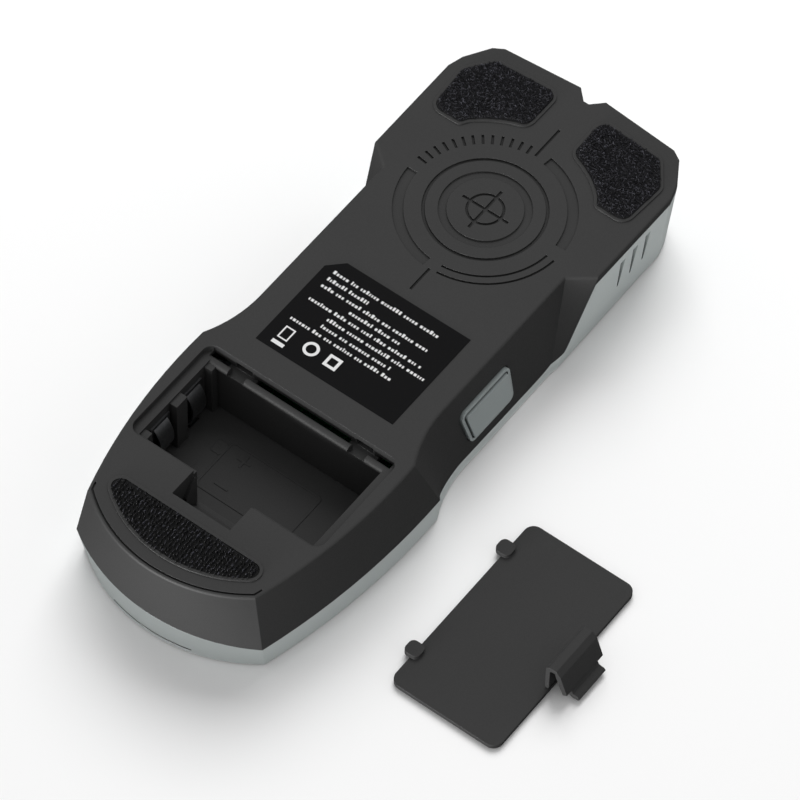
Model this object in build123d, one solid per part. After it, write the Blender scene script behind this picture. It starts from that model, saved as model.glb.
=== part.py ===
"""Handheld wall scanner (stud finder) with its battery cover taken off and laid beside it.

Frame: millimetres, +Z up. The tool lies on its front (display) face, which is the plane z = 0,
with its back face up. +Y points to the head end with the marking notch, +X across the tool.
The origin is on the front face, under the centre of the sensing ring.
"""
from build123d import *
import math
import os

# ---------------------------------------------------------------- driving dimensions
HEAD_REACH = 45.8          # ring centre to the head end
HEAD_TO_STEP = 45.5        # head end to the step where the head meets the waist
WAIST_LENGTH = 72.7        # step to the shoulder of the tail
TAIL_LENGTH = 62.6         # shoulder to the tail tip
HEIGHT = 28.0              # front face to back face
HEAD_WIDTH = 69.6          # at the back face
WAIST_WIDTH = 56.4         # at the back face
TAIL_WIDTH = 65.0          # at the back face, at the shoulder
FRONT_WIDTH = 63.4         # straight sides of the front face
TAIL_CORNER_WIDTH = 51.0   # across the two tail corners at the back face
FLARE_Z = 9.6              # height at which the tail is widest
SHOULDER_FLARE = 3.8       # how far the shoulder stands out there
CORNER_FLARE = 3.1         # and the tail corners
FLARE_TAPER = 0.7          # the tail draws in again this much down to the front face
WALL = 2.2                 # side walls
BACK_WALL = 2.2
FRONT_WALL = 2.0
EDGE_ROUND = 0.6           # back edges
FRONT_CHAMFER = 0.4        # front edges
SHELL_GAP = 0.1            # between the two shells along the parting line
FIT = 0.1                  # clearance of a piece laid into its pocket
HEAD_CORNER_CUT = 2.4      # the head's side corners are softened this far each way
NOTCH_WIDTH = 7.8          # marking notch in the head end
NOTCH_DEPTH = 3.1
NOTCH_FLAT = 1.6

PART_WAIST_Z = 3.0         # parting line between the shells; round the tail it runs at FLARE_Z
PART_HEAD_Z = 25.4
PART_WRAP = 0.5            # the back shell wraps this far round the step's outer edge
STEP_RAKE = 12.3           # the step's outer edge leans this much from back to front
SHOULDER_RAKE = 5.9        # and the shoulder's edge this much the other way

BATTERY_LENGTH = 48.5      # standard 9 V block
BATTERY_WIDTH = 26.5
BATTERY_THICKNESS = 17.5
CONTACT_SPACE = 3.8        # between the end wall of the bay and the battery
BATTERY_PLAY = 0.9         # along the battery
BAY_SIDE_PLAY = 1.6
BAY_DEPTH_PLAY = 0.5
BAY_WALL = 1.4
LEDGE_END = 2.3            # the cover rests on a ledge at both ends of the bay
LEDGE_HINGE = 2.9          # and on a round bar on the hinge side
LEDGE_LATCH = 1.0
COVER_THICKNESS = 1.7
COVER_GAP = 0.2            # around the cover in its recess
COVER_CORNER = 3.0
HINGE_BAR_RADIUS = 1.1
TAB_WIDTH = 4.2            # two hooks on the cover's hinge side
TAB_CORNER = 1.5
TAB_PITCH = 37.0
TAB_REACH = 2.35
TAB_THICKNESS = 1.6
LATCH_WIDTH = 14.8         # spring latch on the other side
LIP_WIDTH = 10.8           # its thumb lip is narrower
LATCH_HEIGHT = 11.0        # above the cover's outer face
LATCH_THICKNESS = 1.2
LATCH_GAP = 0.04           # between the latch foot and the plate
LATCH_REACH = 7.6          # beyond the cover's edge
POCKET_WIDTH = 17.6        # finger pocket beside the bay
POCKET_REACH = 8.3
POCKET_LIP = 4.0

RING_RADII = ((16.0, 15.1), (11.9, 9.7))
RING_DEPTH = 0.5
ARC_RADII = (23.3, 20.4)
TICK_COUNT = 13
TICK_PITCH = 6.4           # degrees

PAD_THICKNESS = 1.9
PAD_SINK = 0.7             # the pads lie this deep in the back face
PAD_RIM = 0.9              # raised rim around each pad
PAD_RIM_HEIGHT = 0.35
PAD_CORNER = 3.6           # a head pad's corners, measured round its rim
PAD_TIGHT_CORNER = 1.7     # and the two beside the hollow edge
LABEL_THICKNESS = 0.12

BOARD_THICKNESS = 1.6
MAIN_BOARD_Z = 8.0         # front side of the main board
MAIN_BOARD_WIDTH = 47.0
SENSOR_BOARD_WIDTH = 48.0
SENSOR_BOARD_Z = 22.0
CASE_SCREW_SHANK = 1.45
CASE_SCREW_HEAD = 2.6
CASE_SCREW_LENGTH = 14.0
CASE_HEAD_HEIGHT = 1.7
BOSS_WALL = 1.6
BOARD_SCREW_SHANK = 0.95
BOARD_SCREW_HEAD = 1.9
BOARD_HEAD_HEIGHT = 1.2
THREAD_FIT = 0.05          # radial, pilot hole to screw

WINDOW_WIDTH = 40.0
WINDOW_LENGTH = 34.0
WINDOW_THICKNESS = 1.2
WINDOW_CENTER_Y = 6.0
WINDOW_LEDGE = 2.2
LCD_THICKNESS = 2.2
LCD_MARGIN = 1.5           # the glass is this much smaller than the window, each side
LCD_FRAME_WALL = 1.0
BACKLIGHT_THICKNESS = 2.0
KEY_RADIUS = 5.4
KEY_GAP = 0.2
KEY_FLANGE = 1.2
KEY_SINK = 0.4             # the keys lie a little under the front face
KEY_TRAVEL = 0.6
KEY_PITCH = 18.0
KEY_SPACE = 15.0           # window edge to the first key
BUTTON_TOP = 20.0          # length of the side button at its back edge
BUTTON_BOTTOM = 17.5
BUTTON_HEIGHT = 12.7
BUTTON_LOW_Z = 7.6
BUTTON_TO_STEP = 30.4      # head-side end of the button to the step
BUTTON_CORNER = 2.0
BUTTON_TRAVEL = 1.0
BUTTON_GAP = 0.25
BUTTON_PROUD = 1.4
BUTTON_RIM = 1.3
BUTTON_GROOVE = 0.45
BUTTON_FLANGE = 1.1
SLIT_COUNT = 3             # tapered grip slits in each head side wall
SLIT_PITCH = 5.3
SLIT_DEPTH = 0.9
SLIT_WIDE = 2.1
SLIT_NARROW = 0.6
SLIT_TOP_Z = 22.0
SLIT_LOW_Z = 10.2
CONTACT_PITCH = 12.7       # the two snap terminals of a 9 V block
CONTACT_BOW = 2.2          # how far the spring strips bow into the bay
WIRE_RADIUS = 0.65

# ---------------------------------------------------------------- places along the tool
HEAD_END_Y = HEAD_REACH
STEP_Y = HEAD_END_Y - HEAD_TO_STEP
SHOULDER_Y = STEP_Y - WAIST_LENGTH
TAIL_END_Y = SHOULDER_Y - TAIL_LENGTH
INNER_TOP_Z = HEIGHT - BACK_WALL


# ---------------------------------------------------------------- outline of the housing
def tangent_mid(start, end):
    """Middle of the arc that leaves start along -Y and reaches end."""
    dx = end[0] - start[0]
    dy = start[1] - end[1]
    radius = (dx * dx + dy * dy) / (2 * dx)
    half = math.asin(dy / radius) / 2
    return (start[0] + radius * (1 - math.cos(half)), start[1] - radius * math.sin(half))


def bowed_mid(start, end, bow):
    """Middle of the arc between two points that stands bow outside its chord, towards +X."""
    dx = end[0] - start[0]
    dy = end[1] - start[1]
    chord = math.hypot(dx, dy)
    return ((start[0] + end[0]) / 2 - bow * dy / chord, (start[1] + end[1]) / 2 + bow * dx / chord)


def sloped(z, front, back):
    """A measure that runs straight from the front face to the back face."""
    return front + (back - front) * z / HEIGHT


def flared(z, front, widest, back):
    """A measure of the tail, which is widest at FLARE_Z."""
    if z < FLARE_Z:
        return front + (widest - front) * z / FLARE_Z
    return widest + (back - widest) * (z - FLARE_Z) / (HEIGHT - FLARE_Z)


def half_outline(z):
    """Right half at height z, from the notch to the tail corner, as (x, y, kind) points."""
    head = sloped(z, FRONT_WIDTH, HEAD_WIDTH) / 2
    waist = sloped(z, FRONT_WIDTH, WAIST_WIDTH) / 2
    end_y = sloped(z, HEAD_END_Y - 0.4, HEAD_END_Y)
    side_top = end_y - sloped(z, 10.9, 12.5)
    step_y = sloped(z, STEP_Y - STEP_RAKE, STEP_Y)
    shoulder_back = TAIL_WIDTH / 2
    shoulder_wide = shoulder_back + SHOULDER_FLARE
    shoulder_x = flared(z, shoulder_wide - FLARE_TAPER, shoulder_wide, shoulder_back)
    shoulder_y = flared(z, SHOULDER_Y + SHOULDER_RAKE, SHOULDER_Y + SHOULDER_RAKE, SHOULDER_Y)
    bend = (waist, sloped(z, SHOULDER_Y + 22.4, SHOULDER_Y + 17.4))
    shoulder = (shoulder_x, shoulder_y)
    corner_back = TAIL_CORNER_WIDTH / 2
    corner_wide = corner_back + CORNER_FLARE
    corner_x = flared(z, corner_wide - FLARE_TAPER, corner_wide, corner_back)
    corner_y = TAIL_END_Y + flared(z, 9.6, 7.7, 9.0)
    tail_corner = (corner_x, corner_y)
    return [
        (NOTCH_FLAT / 2, end_y - NOTCH_DEPTH, "corner"),
        (NOTCH_WIDTH / 2, end_y, "corner"),
        (head - 8.4, end_y - 1.8, "corner"),
        (head - 5.6, end_y - 3.5, "corner"),
        (head - 0.53 * HEAD_CORNER_CUT, side_top + 0.85 * HEAD_CORNER_CUT, "corner"),
        (head, side_top - HEAD_CORNER_CUT, "corner"),
        (head + sloped(z, 0.3, -0.2), step_y, "corner"),
        (waist, step_y - sloped(z, 2.8, 5.1), "corner"),
        (*bend, "corner"),
        (*tangent_mid(bend, shoulder), "mid"),
        (*shoulder, "corner"),
        (*bowed_mid(shoulder, tail_corner, 2.3), "mid"),
        (*tail_corner, "corner"),
    ]


def full_outline(z):
    right = half_outline(z)
    tip = TAIL_END_Y - flared(z, 0.4, 0.7, 0.0)
    left = [(-x, y, kind) for x, y, kind in reversed(right)]
    return right + [(0.0, tip, "mid")] + left


def inset_points(points, inset):
    """Move every point of a closed outline inwards by inset, along the bisector at that point."""
    moved = []
    count = len(points)
    for i, (x, y, kind) in enumerate(points):
        before = points[i - 1]
        after = points[(i + 1) % count]
        a = Vector(x - before[0], y - before[1]).normalized()
        b = Vector(after[0] - x, after[1] - y).normalized()
        na = Vector(a.Y, -a.X)
        nb = Vector(b.Y, -b.X)
        bisector = (na + nb).normalized()
        reach = inset / max(0.3, bisector.dot(na))
        moved.append((x + bisector.X * reach, y + bisector.Y * reach, kind))
    return moved


def outline_wire(z, inset=0.0):
    """The housing's outline at height z, inset by a wall."""
    points = inset_points(full_outline(z), inset)
    edges = []
    count = len(points)
    i = 0
    while i < count:
        start = (points[i][0], points[i][1], z)
        following = points[(i + 1) % count]
        if following[2] == "mid":
            end = points[(i + 2) % count]
            mid = (following[0], following[1], z)
            edges.append(Edge.make_three_point_arc(start, mid, (end[0], end[1], z)))
            i += 2
        else:
            edges.append(Edge.make_line(start, (following[0], following[1], z)))
            i += 1
    return Wire(edges)


def housing_block(levels):
    """A solid through the outlines at the given (z, inset) levels."""
    return Solid.make_loft([outline_wire(z, inset) for z, inset in levels], ruled=True)


# ---------------------------------------------------------------- small helpers
def block(x0, x1, y0, y1, z0, z1):
    return Pos((x0 + x1) / 2, (y0 + y1) / 2, (z0 + z1) / 2) * Box(x1 - x0, y1 - y0, z1 - z0)


def rod(x, y, z0, z1, radius):
    return Pos(x, y, (z0 + z1) / 2) * Cylinder(radius, z1 - z0)


def rod_x(x0, x1, y, z, radius):
    return Pos((x0 + x1) / 2, y, z) * Rot(0, 90, 0) * Cylinder(radius, x1 - x0)


def across(points, x0, x1):
    """A prism whose outline is given as (y, z) corners, between two x values."""
    face = Plane.YZ * make_face(Polyline(*points, close=True))
    return Pos(x0, 0, 0) * extrude(face, x1 - x0)


def along_y(points, y0, y1):
    """A prism whose outline is given as (x, z) corners, between two y values."""
    face = Plane.XZ * make_face(Polyline(*points, close=True))
    return Pos(0, y1, 0) * extrude(face, y1 - y0)


def upright(sketch, z0, z1):
    return Pos(0, 0, z0) * extrude(sketch, z1 - z0)


def both_sides(shape):
    return shape + mirror(shape, Plane.YZ)


def rounded_rect(x0, x1, y0, y1, radius):
    return Pos((x0 + x1) / 2, (y0 + y1) / 2) * RectangleRounded(x1 - x0, y1 - y0, radius)


def ring(outer, inner):
    return Circle(outer) - Circle(inner)


# ---------------------------------------------------------------- parting line
def step_edge_y(z):
    """Where the outer edge of the head's step stands at height z."""
    return STEP_Y - STEP_RAKE * (1 - z / HEIGHT)


def below_parting(drop):
    """Everything on the front side of the parting line, lowered by drop."""
    far = 20.0
    shoulder_y = SHOULDER_Y + SHOULDER_RAKE
    rise_z = PART_WAIST_Z + 4.0
    rise_y = step_edge_y(rise_z) + PART_WRAP
    head_y = step_edge_y(PART_HEAD_Z) + PART_WRAP
    flat_y = shoulder_y + 12.0
    sweep_y = rise_y - 12.0
    a = (0, TAIL_END_Y - far, FLARE_Z - drop)
    b = (0, shoulder_y, FLARE_Z - drop)
    c = (0, flat_y, PART_WAIST_Z + 0.4 - drop)
    d = (0, sweep_y, PART_WAIST_Z - drop)
    e = (0, rise_y, rise_z - drop)
    f = (0, head_y, PART_HEAD_Z - drop)
    g = (0, HEAD_END_Y + far, PART_HEAD_Z - drop)
    steep = (0, head_y - rise_y, PART_HEAD_Z - rise_z)
    edges = [
        Edge.make_line(a, b),
        Edge.make_spline([b, c], tangents=[(0, 0.6, -1), (0, 1, -0.05)]),
        Edge.make_line(c, d),
        Edge.make_spline([d, e], tangents=[(0, 1, 0), steep]),
        Edge.make_line(e, f),
        Edge.make_line(f, g),
        Edge.make_line(g, (0, g[1], -far)),
        Edge.make_line((0, g[1], -far), (0, a[1], -far)),
        Edge.make_line((0, a[1], -far), a),
    ]
    face = Face(Wire(edges))
    return extrude(face, HEAD_WIDTH, dir=(1, 0, 0), both=True)


# ---------------------------------------------------------------- battery bay, shared by shell and cover
BAY_LENGTH = BATTERY_LENGTH + CONTACT_SPACE + BATTERY_PLAY
BAY_WIDTH = BATTERY_WIDTH + BAY_SIDE_PLAY
COVER_LENGTH = BAY_LENGTH + 2 * LEDGE_END
COVER_WIDTH = BAY_WIDTH + LEDGE_HINGE + LEDGE_LATCH
RECESS_Y1 = SHOULDER_Y - 1.3
RECESS_Y0 = RECESS_Y1 - COVER_WIDTH - 2 * COVER_GAP
RECESS_X = COVER_LENGTH / 2 + COVER_GAP
BAY_X = BAY_LENGTH / 2
BAY_Y1 = RECESS_Y1 - COVER_GAP - LEDGE_HINGE
BAY_Y0 = BAY_Y1 - BAY_WIDTH
BAY_MID_Y = (BAY_Y0 + BAY_Y1) / 2
LEDGE_Z = HEIGHT - COVER_THICKNESS
BAY_FLOOR_Z = LEDGE_Z - BATTERY_THICKNESS - BAY_DEPTH_PLAY
POCKET_Y0 = RECESS_Y0 - POCKET_REACH
POCKET_LOW_Z = HEIGHT - LATCH_HEIGHT - 3.4
TAB_SLOT_LOW_Z = LEDGE_Z - TAB_THICKNESS - 0.5

# ---------------------------------------------------------------- pads on the back face
TAIL_ARC_CENTER_Y = TAIL_END_Y + 39.8
BASE_PAD_RADIUS = 35.3
BASE_PAD_CHORD_Y = TAIL_ARC_CENTER_Y - 22.2
PAD_TOP_Z = HEIGHT - PAD_SINK + PAD_THICKNESS


def head_pad_outline(shrink):
    """The right head pad: straight outside, hollow towards the sensing ring."""
    hollow = 27.4
    first = (6.3, math.sqrt(hollow ** 2 - 6.3 ** 2))
    last = (19.3, math.sqrt(hollow ** 2 - 19.3 ** 2))
    middle = math.radians(60.0)
    side = HEAD_WIDTH / 2 - 3.2
    top = HEAD_END_Y - 4.8
    edge = Polyline(last, (20.9, 17.0), (side - 1.05, 16.9), (side, 32.0),
                    (side - 5.7, top - 1.2), (6.1, top), first)
    bow = ThreePointArc(first, (hollow * math.cos(middle), hollow * math.sin(middle)), last)
    face = make_face(edge + bow)
    face = fillet([v for v in face.vertices() if v.X < 22 and v.Y < 20], PAD_TIGHT_CORNER)
    face = fillet([v for v in face.vertices() if v.X > 25 or v.Y > 25], PAD_CORNER)
    if shrink:
        face = offset(face, -shrink)
    return face


def base_pad_outline(shrink):
    """The tail pad: a flat D, concentric with the tail's end."""
    disc = Pos(0, TAIL_ARC_CENTER_Y) * Circle(BASE_PAD_RADIUS)
    room = rounded_rect(-50, 50, BASE_PAD_CHORD_Y - 60, BASE_PAD_CHORD_Y, 1)
    face = disc & room
    face = fillet(face.vertices(), 3.2)
    if shrink:
        face = offset(face, -shrink)
    return face


CASE_SCREWS_AT = [(24.0, HEAD_END_Y - 12.4), (-24.0, HEAD_END_Y - 12.4),
                  (13.0, TAIL_END_Y + 11.6), (-13.0, TAIL_END_Y + 11.6)]
CASE_HEAD_LOW_Z = HEIGHT - PAD_SINK - CASE_HEAD_HEIGHT - 0.1
CASE_SPLIT_Z = CASE_HEAD_LOW_Z - 7.5
SENSOR_SCREWS_AT = [(21.0, 24.4), (-21.0, 24.4), (21.0, STEP_Y - 18.3), (-21.0, STEP_Y - 18.3)]
MAIN_SCREWS_AT = [(20.6, 26.0), (-20.6, 26.0), (20.0, SHOULDER_Y + 10.4), (-20.0, SHOULDER_Y + 10.4)]
MAIN_BOARD_Y1 = 29.0
MAIN_BOARD_Y0 = SHOULDER_Y + 6.0
MAIN_BOARD_TOP_Z = MAIN_BOARD_Z + BOARD_THICKNESS
SENSOR_BOARD_TOP_Z = SENSOR_BOARD_Z + BOARD_THICKNESS
WINDOW_Y0 = WINDOW_CENTER_Y - WINDOW_LENGTH / 2
WINDOW_Y1 = WINDOW_CENTER_Y + WINDOW_LENGTH / 2
KEYS_AT_Y = [WINDOW_Y0 - KEY_SPACE, WINDOW_Y0 - KEY_SPACE - KEY_PITCH]
CONTACTS_AT_Y = [BAY_MID_Y + CONTACT_PITCH / 2, BAY_MID_Y - CONTACT_PITCH / 2]
CONTACT_PLATE = 0.5
CONTACT_HALF = 3.6         # half the width of a contact
CONTACT_ROOM = 1.7         # from a contact to the end rib beside it
CONTACT_TAIL_DROP = 2.6    # the contact tails end this far below the main board
CONTACT_TAIL_Z = MAIN_BOARD_Z - CONTACT_TAIL_DROP
END_RIB = BAY_WIDTH / 2 - CONTACT_PITCH / 2 - CONTACT_HALF - CONTACT_ROOM
MIDDLE_RIB = CONTACT_PITCH - 2 * CONTACT_HALF - 1.4


# ---------------------------------------------------------------- side button
def waist_wall_x(z):
    """Outer face of the waist's side wall at height z."""
    return WAIST_WIDTH / 2 + (FRONT_WIDTH - WAIST_WIDTH) / 2 * (1 - z / HEIGHT)


def wall_slab(inner, outer):
    """A slab parallel to the waist's side wall, from inner to outer beyond its face."""
    low = -5.0
    high = HEIGHT + 5.0
    points = [(waist_wall_x(low) + inner, low), (waist_wall_x(low) + outer, low),
              (waist_wall_x(high) + outer, high), (waist_wall_x(high) + inner, high)]
    return along_y(points, SHOULDER_Y, STEP_Y)


def button_outline(grow):
    """The button's outline in the Y-Z plane, grown all round."""
    head_y = STEP_Y - BUTTON_TO_STEP
    top_z = BUTTON_LOW_Z + BUTTON_HEIGHT
    corners = [(head_y, top_z), (head_y + 0.5, BUTTON_LOW_Z), (head_y + 0.5 - BUTTON_BOTTOM, BUTTON_LOW_Z),
               (head_y - BUTTON_TOP, top_z)]
    face = make_face(Polyline(*corners, close=True))
    face = fillet(face.vertices(), BUTTON_CORNER)
    if grow:
        face = offset(face, grow)
    return Plane.YZ * face


def button_prism(grow):
    return Pos(WAIST_WIDTH / 4, 0, 0) * extrude(button_outline(grow), WAIST_WIDTH / 2)


def make_side_button():
    cap = button_prism(0) & wall_slab(-WALL - BUTTON_FLANGE, BUTTON_PROUD)
    rim_cut = (button_prism(1) - button_prism(-BUTTON_RIM)) & wall_slab(BUTTON_PROUD - 0.6, BUTTON_PROUD + 2)
    groove = (button_prism(BUTTON_GROOVE - BUTTON_RIM) - button_prism(-BUTTON_RIM))
    groove = groove & wall_slab(BUTTON_PROUD - 1.1, BUTTON_PROUD + 2)
    flange = button_prism(1.2) & wall_slab(-WALL - FIT - BUTTON_FLANGE, -WALL - FIT)
    post_y = STEP_Y - BUTTON_TO_STEP - BUTTON_TOP / 2
    post_z = BUTTON_LOW_Z + BUTTON_HEIGHT / 2
    post_x = waist_wall_x(post_z) - WALL - BUTTON_FLANGE
    post = rod_x(post_x - 1.4, post_x + 0.8, post_y, post_z, 2.0)
    return cap - rim_cut - groove + flange + post


# ---------------------------------------------------------------- shells
def outer_block():
    return housing_block([(0, FRONT_CHAMFER), (FRONT_CHAMFER, 0), (FLARE_Z, 0), (HEIGHT - EDGE_ROUND, 0),
                          (HEIGHT - 0.5 * EDGE_ROUND, 0.13 * EDGE_ROUND),
                          (HEIGHT - 0.13 * EDGE_ROUND, 0.5 * EDGE_ROUND), (HEIGHT, EDGE_ROUND)])


def cavity_block():
    return housing_block([(FRONT_WALL, WALL), (FLARE_Z, WALL), (INNER_TOP_Z, WALL)])


def edge_groove(inner, outer, z0, z1, half_width):
    """A groove along the tail's end, between two insets from the outline."""
    band = housing_block([(z0, inner), (z1, inner)]) - housing_block([(z0, outer), (z1, outer)])
    return band & block(-half_width, half_width, TAIL_END_Y - 9, TAIL_END_Y + 12, z0, z1)


def bay_solids():
    """Walls of the battery bay, the finger pocket and the hook slots, before they are hollowed."""
    walls = block(-BAY_X - BAY_WALL, BAY_X + BAY_WALL, BAY_Y0 - BAY_WALL, BAY_Y1 + BAY_WALL,
                  BAY_FLOOR_Z - BAY_WALL, INNER_TOP_Z)
    pocket = across([(BAY_Y0, INNER_TOP_Z), (POCKET_Y0 - BAY_WALL, INNER_TOP_Z),
                     (POCKET_Y0 - BAY_WALL, HEIGHT - POCKET_LIP - BAY_WALL),
                     (RECESS_Y0 - BAY_WALL, POCKET_LOW_Z - BAY_WALL), (BAY_Y0, POCKET_LOW_Z - BAY_WALL)],
                    -POCKET_WIDTH / 2 - BAY_WALL, POCKET_WIDTH / 2 + BAY_WALL)
    rim = block(-RECESS_X - BAY_WALL, RECESS_X + BAY_WALL, RECESS_Y0 - BAY_WALL, RECESS_Y1 + BAY_WALL,
                LEDGE_Z - BAY_WALL, HEIGHT - 0.5)
    hook_house = block(TAB_PITCH / 2 - TAB_WIDTH, TAB_PITCH / 2 + TAB_WIDTH,
                       BAY_Y1, RECESS_Y1 + TAB_REACH + 2,
                       TAB_SLOT_LOW_Z - BAY_WALL, INNER_TOP_Z)
    return walls + pocket + rim + both_sides(hook_house)


def bay_hollows():
    bay = block(-BAY_X, BAY_X, BAY_Y0, BAY_Y1, BAY_FLOOR_Z, HEIGHT + 1)
    recess = upright(rounded_rect(-RECESS_X, RECESS_X, RECESS_Y0, RECESS_Y1, COVER_CORNER),
                     LEDGE_Z, HEIGHT + 1)
    behind_bar = block(-BAY_X - 1, BAY_X + 1, BAY_Y1 - 0.01, RECESS_Y1,
                       LEDGE_Z - 2 * HINGE_BAR_RADIUS, LEDGE_Z + 1)
    pocket = across([(BAY_Y0 + 1, HEIGHT + 1), (POCKET_Y0, HEIGHT + 1), (POCKET_Y0, HEIGHT - POCKET_LIP),
                     (RECESS_Y0, POCKET_LOW_Z), (BAY_Y0 + 1, POCKET_LOW_Z)],
                    -POCKET_WIDTH / 2, POCKET_WIDTH / 2)
    slot = block(TAB_PITCH / 2 - TAB_WIDTH / 2 - 0.4, TAB_PITCH / 2 + TAB_WIDTH / 2 + 0.4,
                 BAY_Y1 - 0.5, RECESS_Y1 + TAB_REACH + 0.4, TAB_SLOT_LOW_Z, LEDGE_Z)
    tail_slots = [block(-BAY_X - 0.2, -BAY_X + CONTACT_PLATE + 0.3, y - 1.8, y + 1.8, 0, BAY_FLOOR_Z + 1)
                  for y in CONTACTS_AT_Y]
    hollow = bay + recess + behind_bar + pocket + both_sides(slot)
    for tail_slot in tail_slots:
        hollow += tail_slot
    return hollow


def bay_details():
    """Hinge bar, ribs beside the contacts, latch wedges and raised marks on the bay floor."""
    bar_y = BAY_Y1 + HINGE_BAR_RADIUS - 0.8
    bar_z = LEDGE_Z - HINGE_BAR_RADIUS
    bar = rod_x(-RECESS_X + 0.5, RECESS_X - 0.5, bar_y, bar_z, HINGE_BAR_RADIUS)
    notch = block(TAB_PITCH / 2 - TAB_WIDTH / 2 - 0.4, TAB_PITCH / 2 + TAB_WIDTH / 2 + 0.4,
                  BAY_Y1 - 3, RECESS_Y1 + 3, TAB_SLOT_LOW_Z - 1, LEDGE_Z + 1)
    backing = block(-RECESS_X + 0.5, RECESS_X - 0.5, bar_y, BAY_Y1 + BAY_WALL, LEDGE_Z - 3 * HINGE_BAR_RADIUS,
                    bar_z + 0.2)
    details = bar + backing - both_sides(notch)
    rib_reach = 2.2
    rib_top = LEDGE_Z - 0.6
    ribs = [(BAY_MID_Y - MIDDLE_RIB / 2, BAY_MID_Y + MIDDLE_RIB / 2), (BAY_Y1 - END_RIB, BAY_Y1),
            (BAY_Y0, BAY_Y0 + END_RIB)]
    for y0, y1 in ribs:
        details += block(-BAY_X - 0.5, -BAY_X + rib_reach, y0, y1, BAY_FLOOR_Z - 0.5, rib_top)
    wedge = across([(RECESS_Y0 - 0.2, POCKET_LOW_Z - 0.5), (RECESS_Y0 - 0.2, HEIGHT - 2.0),
                    (RECESS_Y0 - 4.0, HEIGHT - 7.0), (RECESS_Y0 - 4.0, POCKET_LOW_Z + 2.5)],
                   POCKET_WIDTH / 2 - 0.9, POCKET_WIDTH / 2 + 0.5)
    details += both_sides(wedge)
    return details


def floor_marks():
    """Battery outline with a plus and a minus sign, raised on the bay floor."""
    low = BAY_FLOOR_Z - 0.2
    high = BAY_FLOOR_Z + 0.15
    line = 0.6
    outline = rounded_rect(-15, 13, BAY_MID_Y - 8, BAY_MID_Y + 8, 1.5)
    outline -= rounded_rect(-15 + line, 13 - line, BAY_MID_Y - 8 + line, BAY_MID_Y + 8 - line, 1.0)
    marks = upright(outline, low, high)
    for y in CONTACTS_AT_Y:
        terminal_y = BAY_MID_Y + 0.7 * (y - BAY_MID_Y)
        marks += upright(rounded_rect(-18, -15, terminal_y - 2, terminal_y + 2, 0.6), low, high)
    plus_y, minus_y = CONTACTS_AT_Y
    marks += block(-11, -7, plus_y - 1.8 - line / 2, plus_y - 1.8 + line / 2, low, high)
    marks += block(-9 - line / 2, -9 + line / 2, plus_y - 3.8, plus_y + 0.2, low, high)
    marks += block(-11, -7, minus_y + 1.8 - line / 2, minus_y + 1.8 + line / 2, low, high)
    return marks


def sensing_marks():
    """Recessed rings, ticks, arcs and crosshair on the back face."""
    low = HEIGHT - RING_DEPTH
    high = HEIGHT + 1
    outer, inner = ARC_RADII
    sketch = Sketch()
    for outside, inside in RING_RADII:
        sketch += ring(outside, inside)
    for i in range(TICK_COUNT):
        angle = 173.0 - i * TICK_PITCH
        sketch += Rot(0, 0, angle) * Pos((outer + inner) / 2, 0) * Rectangle(outer - inner, 0.7)
    band = ring(outer, inner)
    sketch += band & sector(183.0, 265.0)
    sketch += band & sector(4.7, 81.3)
    sketch += (ring(outer, outer - 0.6) + ring(inner + 0.6, inner)) & sector(275.0, 354.5)
    sketch += Pos(0, 26.2) * Rectangle(0.7, 10.4)
    sketch += Pos(0, -27.0) * Rectangle(0.7, 8.0)
    sketch += Rectangle(14.0, 0.8) + Rectangle(0.8, 14.0) + ring(5.0, 4.3)
    return upright(sketch, low, high)


def sector(start, end):
    reach = 40.0
    middle = (start + end) / 2
    points = [(0, 0)]
    for angle in (start, middle, end):
        stretch = reach / math.cos(math.radians((end - start) / 4)) if angle == middle else reach
        points.append((stretch * math.cos(math.radians(angle)), stretch * math.sin(math.radians(angle))))
    return make_face(Polyline(*points, close=True))


def make_rear_shell(outer, cavity):
    """Black back half, with the battery bay moulded in one with it."""
    shell = outer - below_parting(0)
    solids = bay_solids()
    for x, y in CASE_SCREWS_AT:
        solids += rod(x, y, CASE_SPLIT_Z, INNER_TOP_Z, CASE_SCREW_HEAD + BOSS_WALL)
    for x, y in SENSOR_SCREWS_AT:
        solids += rod(x, y, SENSOR_BOARD_TOP_Z, INNER_TOP_Z, BOARD_SCREW_SHANK + BOSS_WALL)
    shell = shell - cavity + (solids & outer)
    rims = both_sides(upright(head_pad_outline(0), HEIGHT - 0.5, HEIGHT + PAD_RIM_HEIGHT))
    rims += upright(base_pad_outline(0), HEIGHT - 0.5, HEIGHT + PAD_RIM_HEIGHT)
    shell += rims
    pad_beds = both_sides(upright(head_pad_outline(PAD_RIM - FIT), HEIGHT - PAD_SINK, HEIGHT + 1))
    pad_beds += upright(base_pad_outline(PAD_RIM - FIT), HEIGHT - PAD_SINK, HEIGHT + 1)
    shell -= pad_beds
    shell -= bay_hollows()
    shell += bay_details()
    shell += floor_marks()
    for x, y in CASE_SCREWS_AT:
        shell -= rod(x, y, CASE_HEAD_LOW_Z, HEIGHT, CASE_SCREW_HEAD + FIT)
        shell -= rod(x, y, CASE_SPLIT_Z - 1, HEIGHT, CASE_SCREW_SHANK + 2 * FIT)
    for x, y in SENSOR_SCREWS_AT:
        shell -= rod(x, y, SENSOR_BOARD_TOP_Z - 1, SENSOR_SCREW_TIP_Z + 0.2, BOARD_SCREW_SHANK + THREAD_FIT)
    shell -= button_prism(BUTTON_GAP) & wall_slab(-WALL - 1, BUTTON_PROUD + 3)
    shell -= sensing_marks()
    shell -= edge_groove(EDGE_ROUND + 0.1, EDGE_ROUND + 0.6, HEIGHT - 0.5, HEIGHT, TAIL_CORNER_WIDTH / 2)
    return shell


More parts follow.
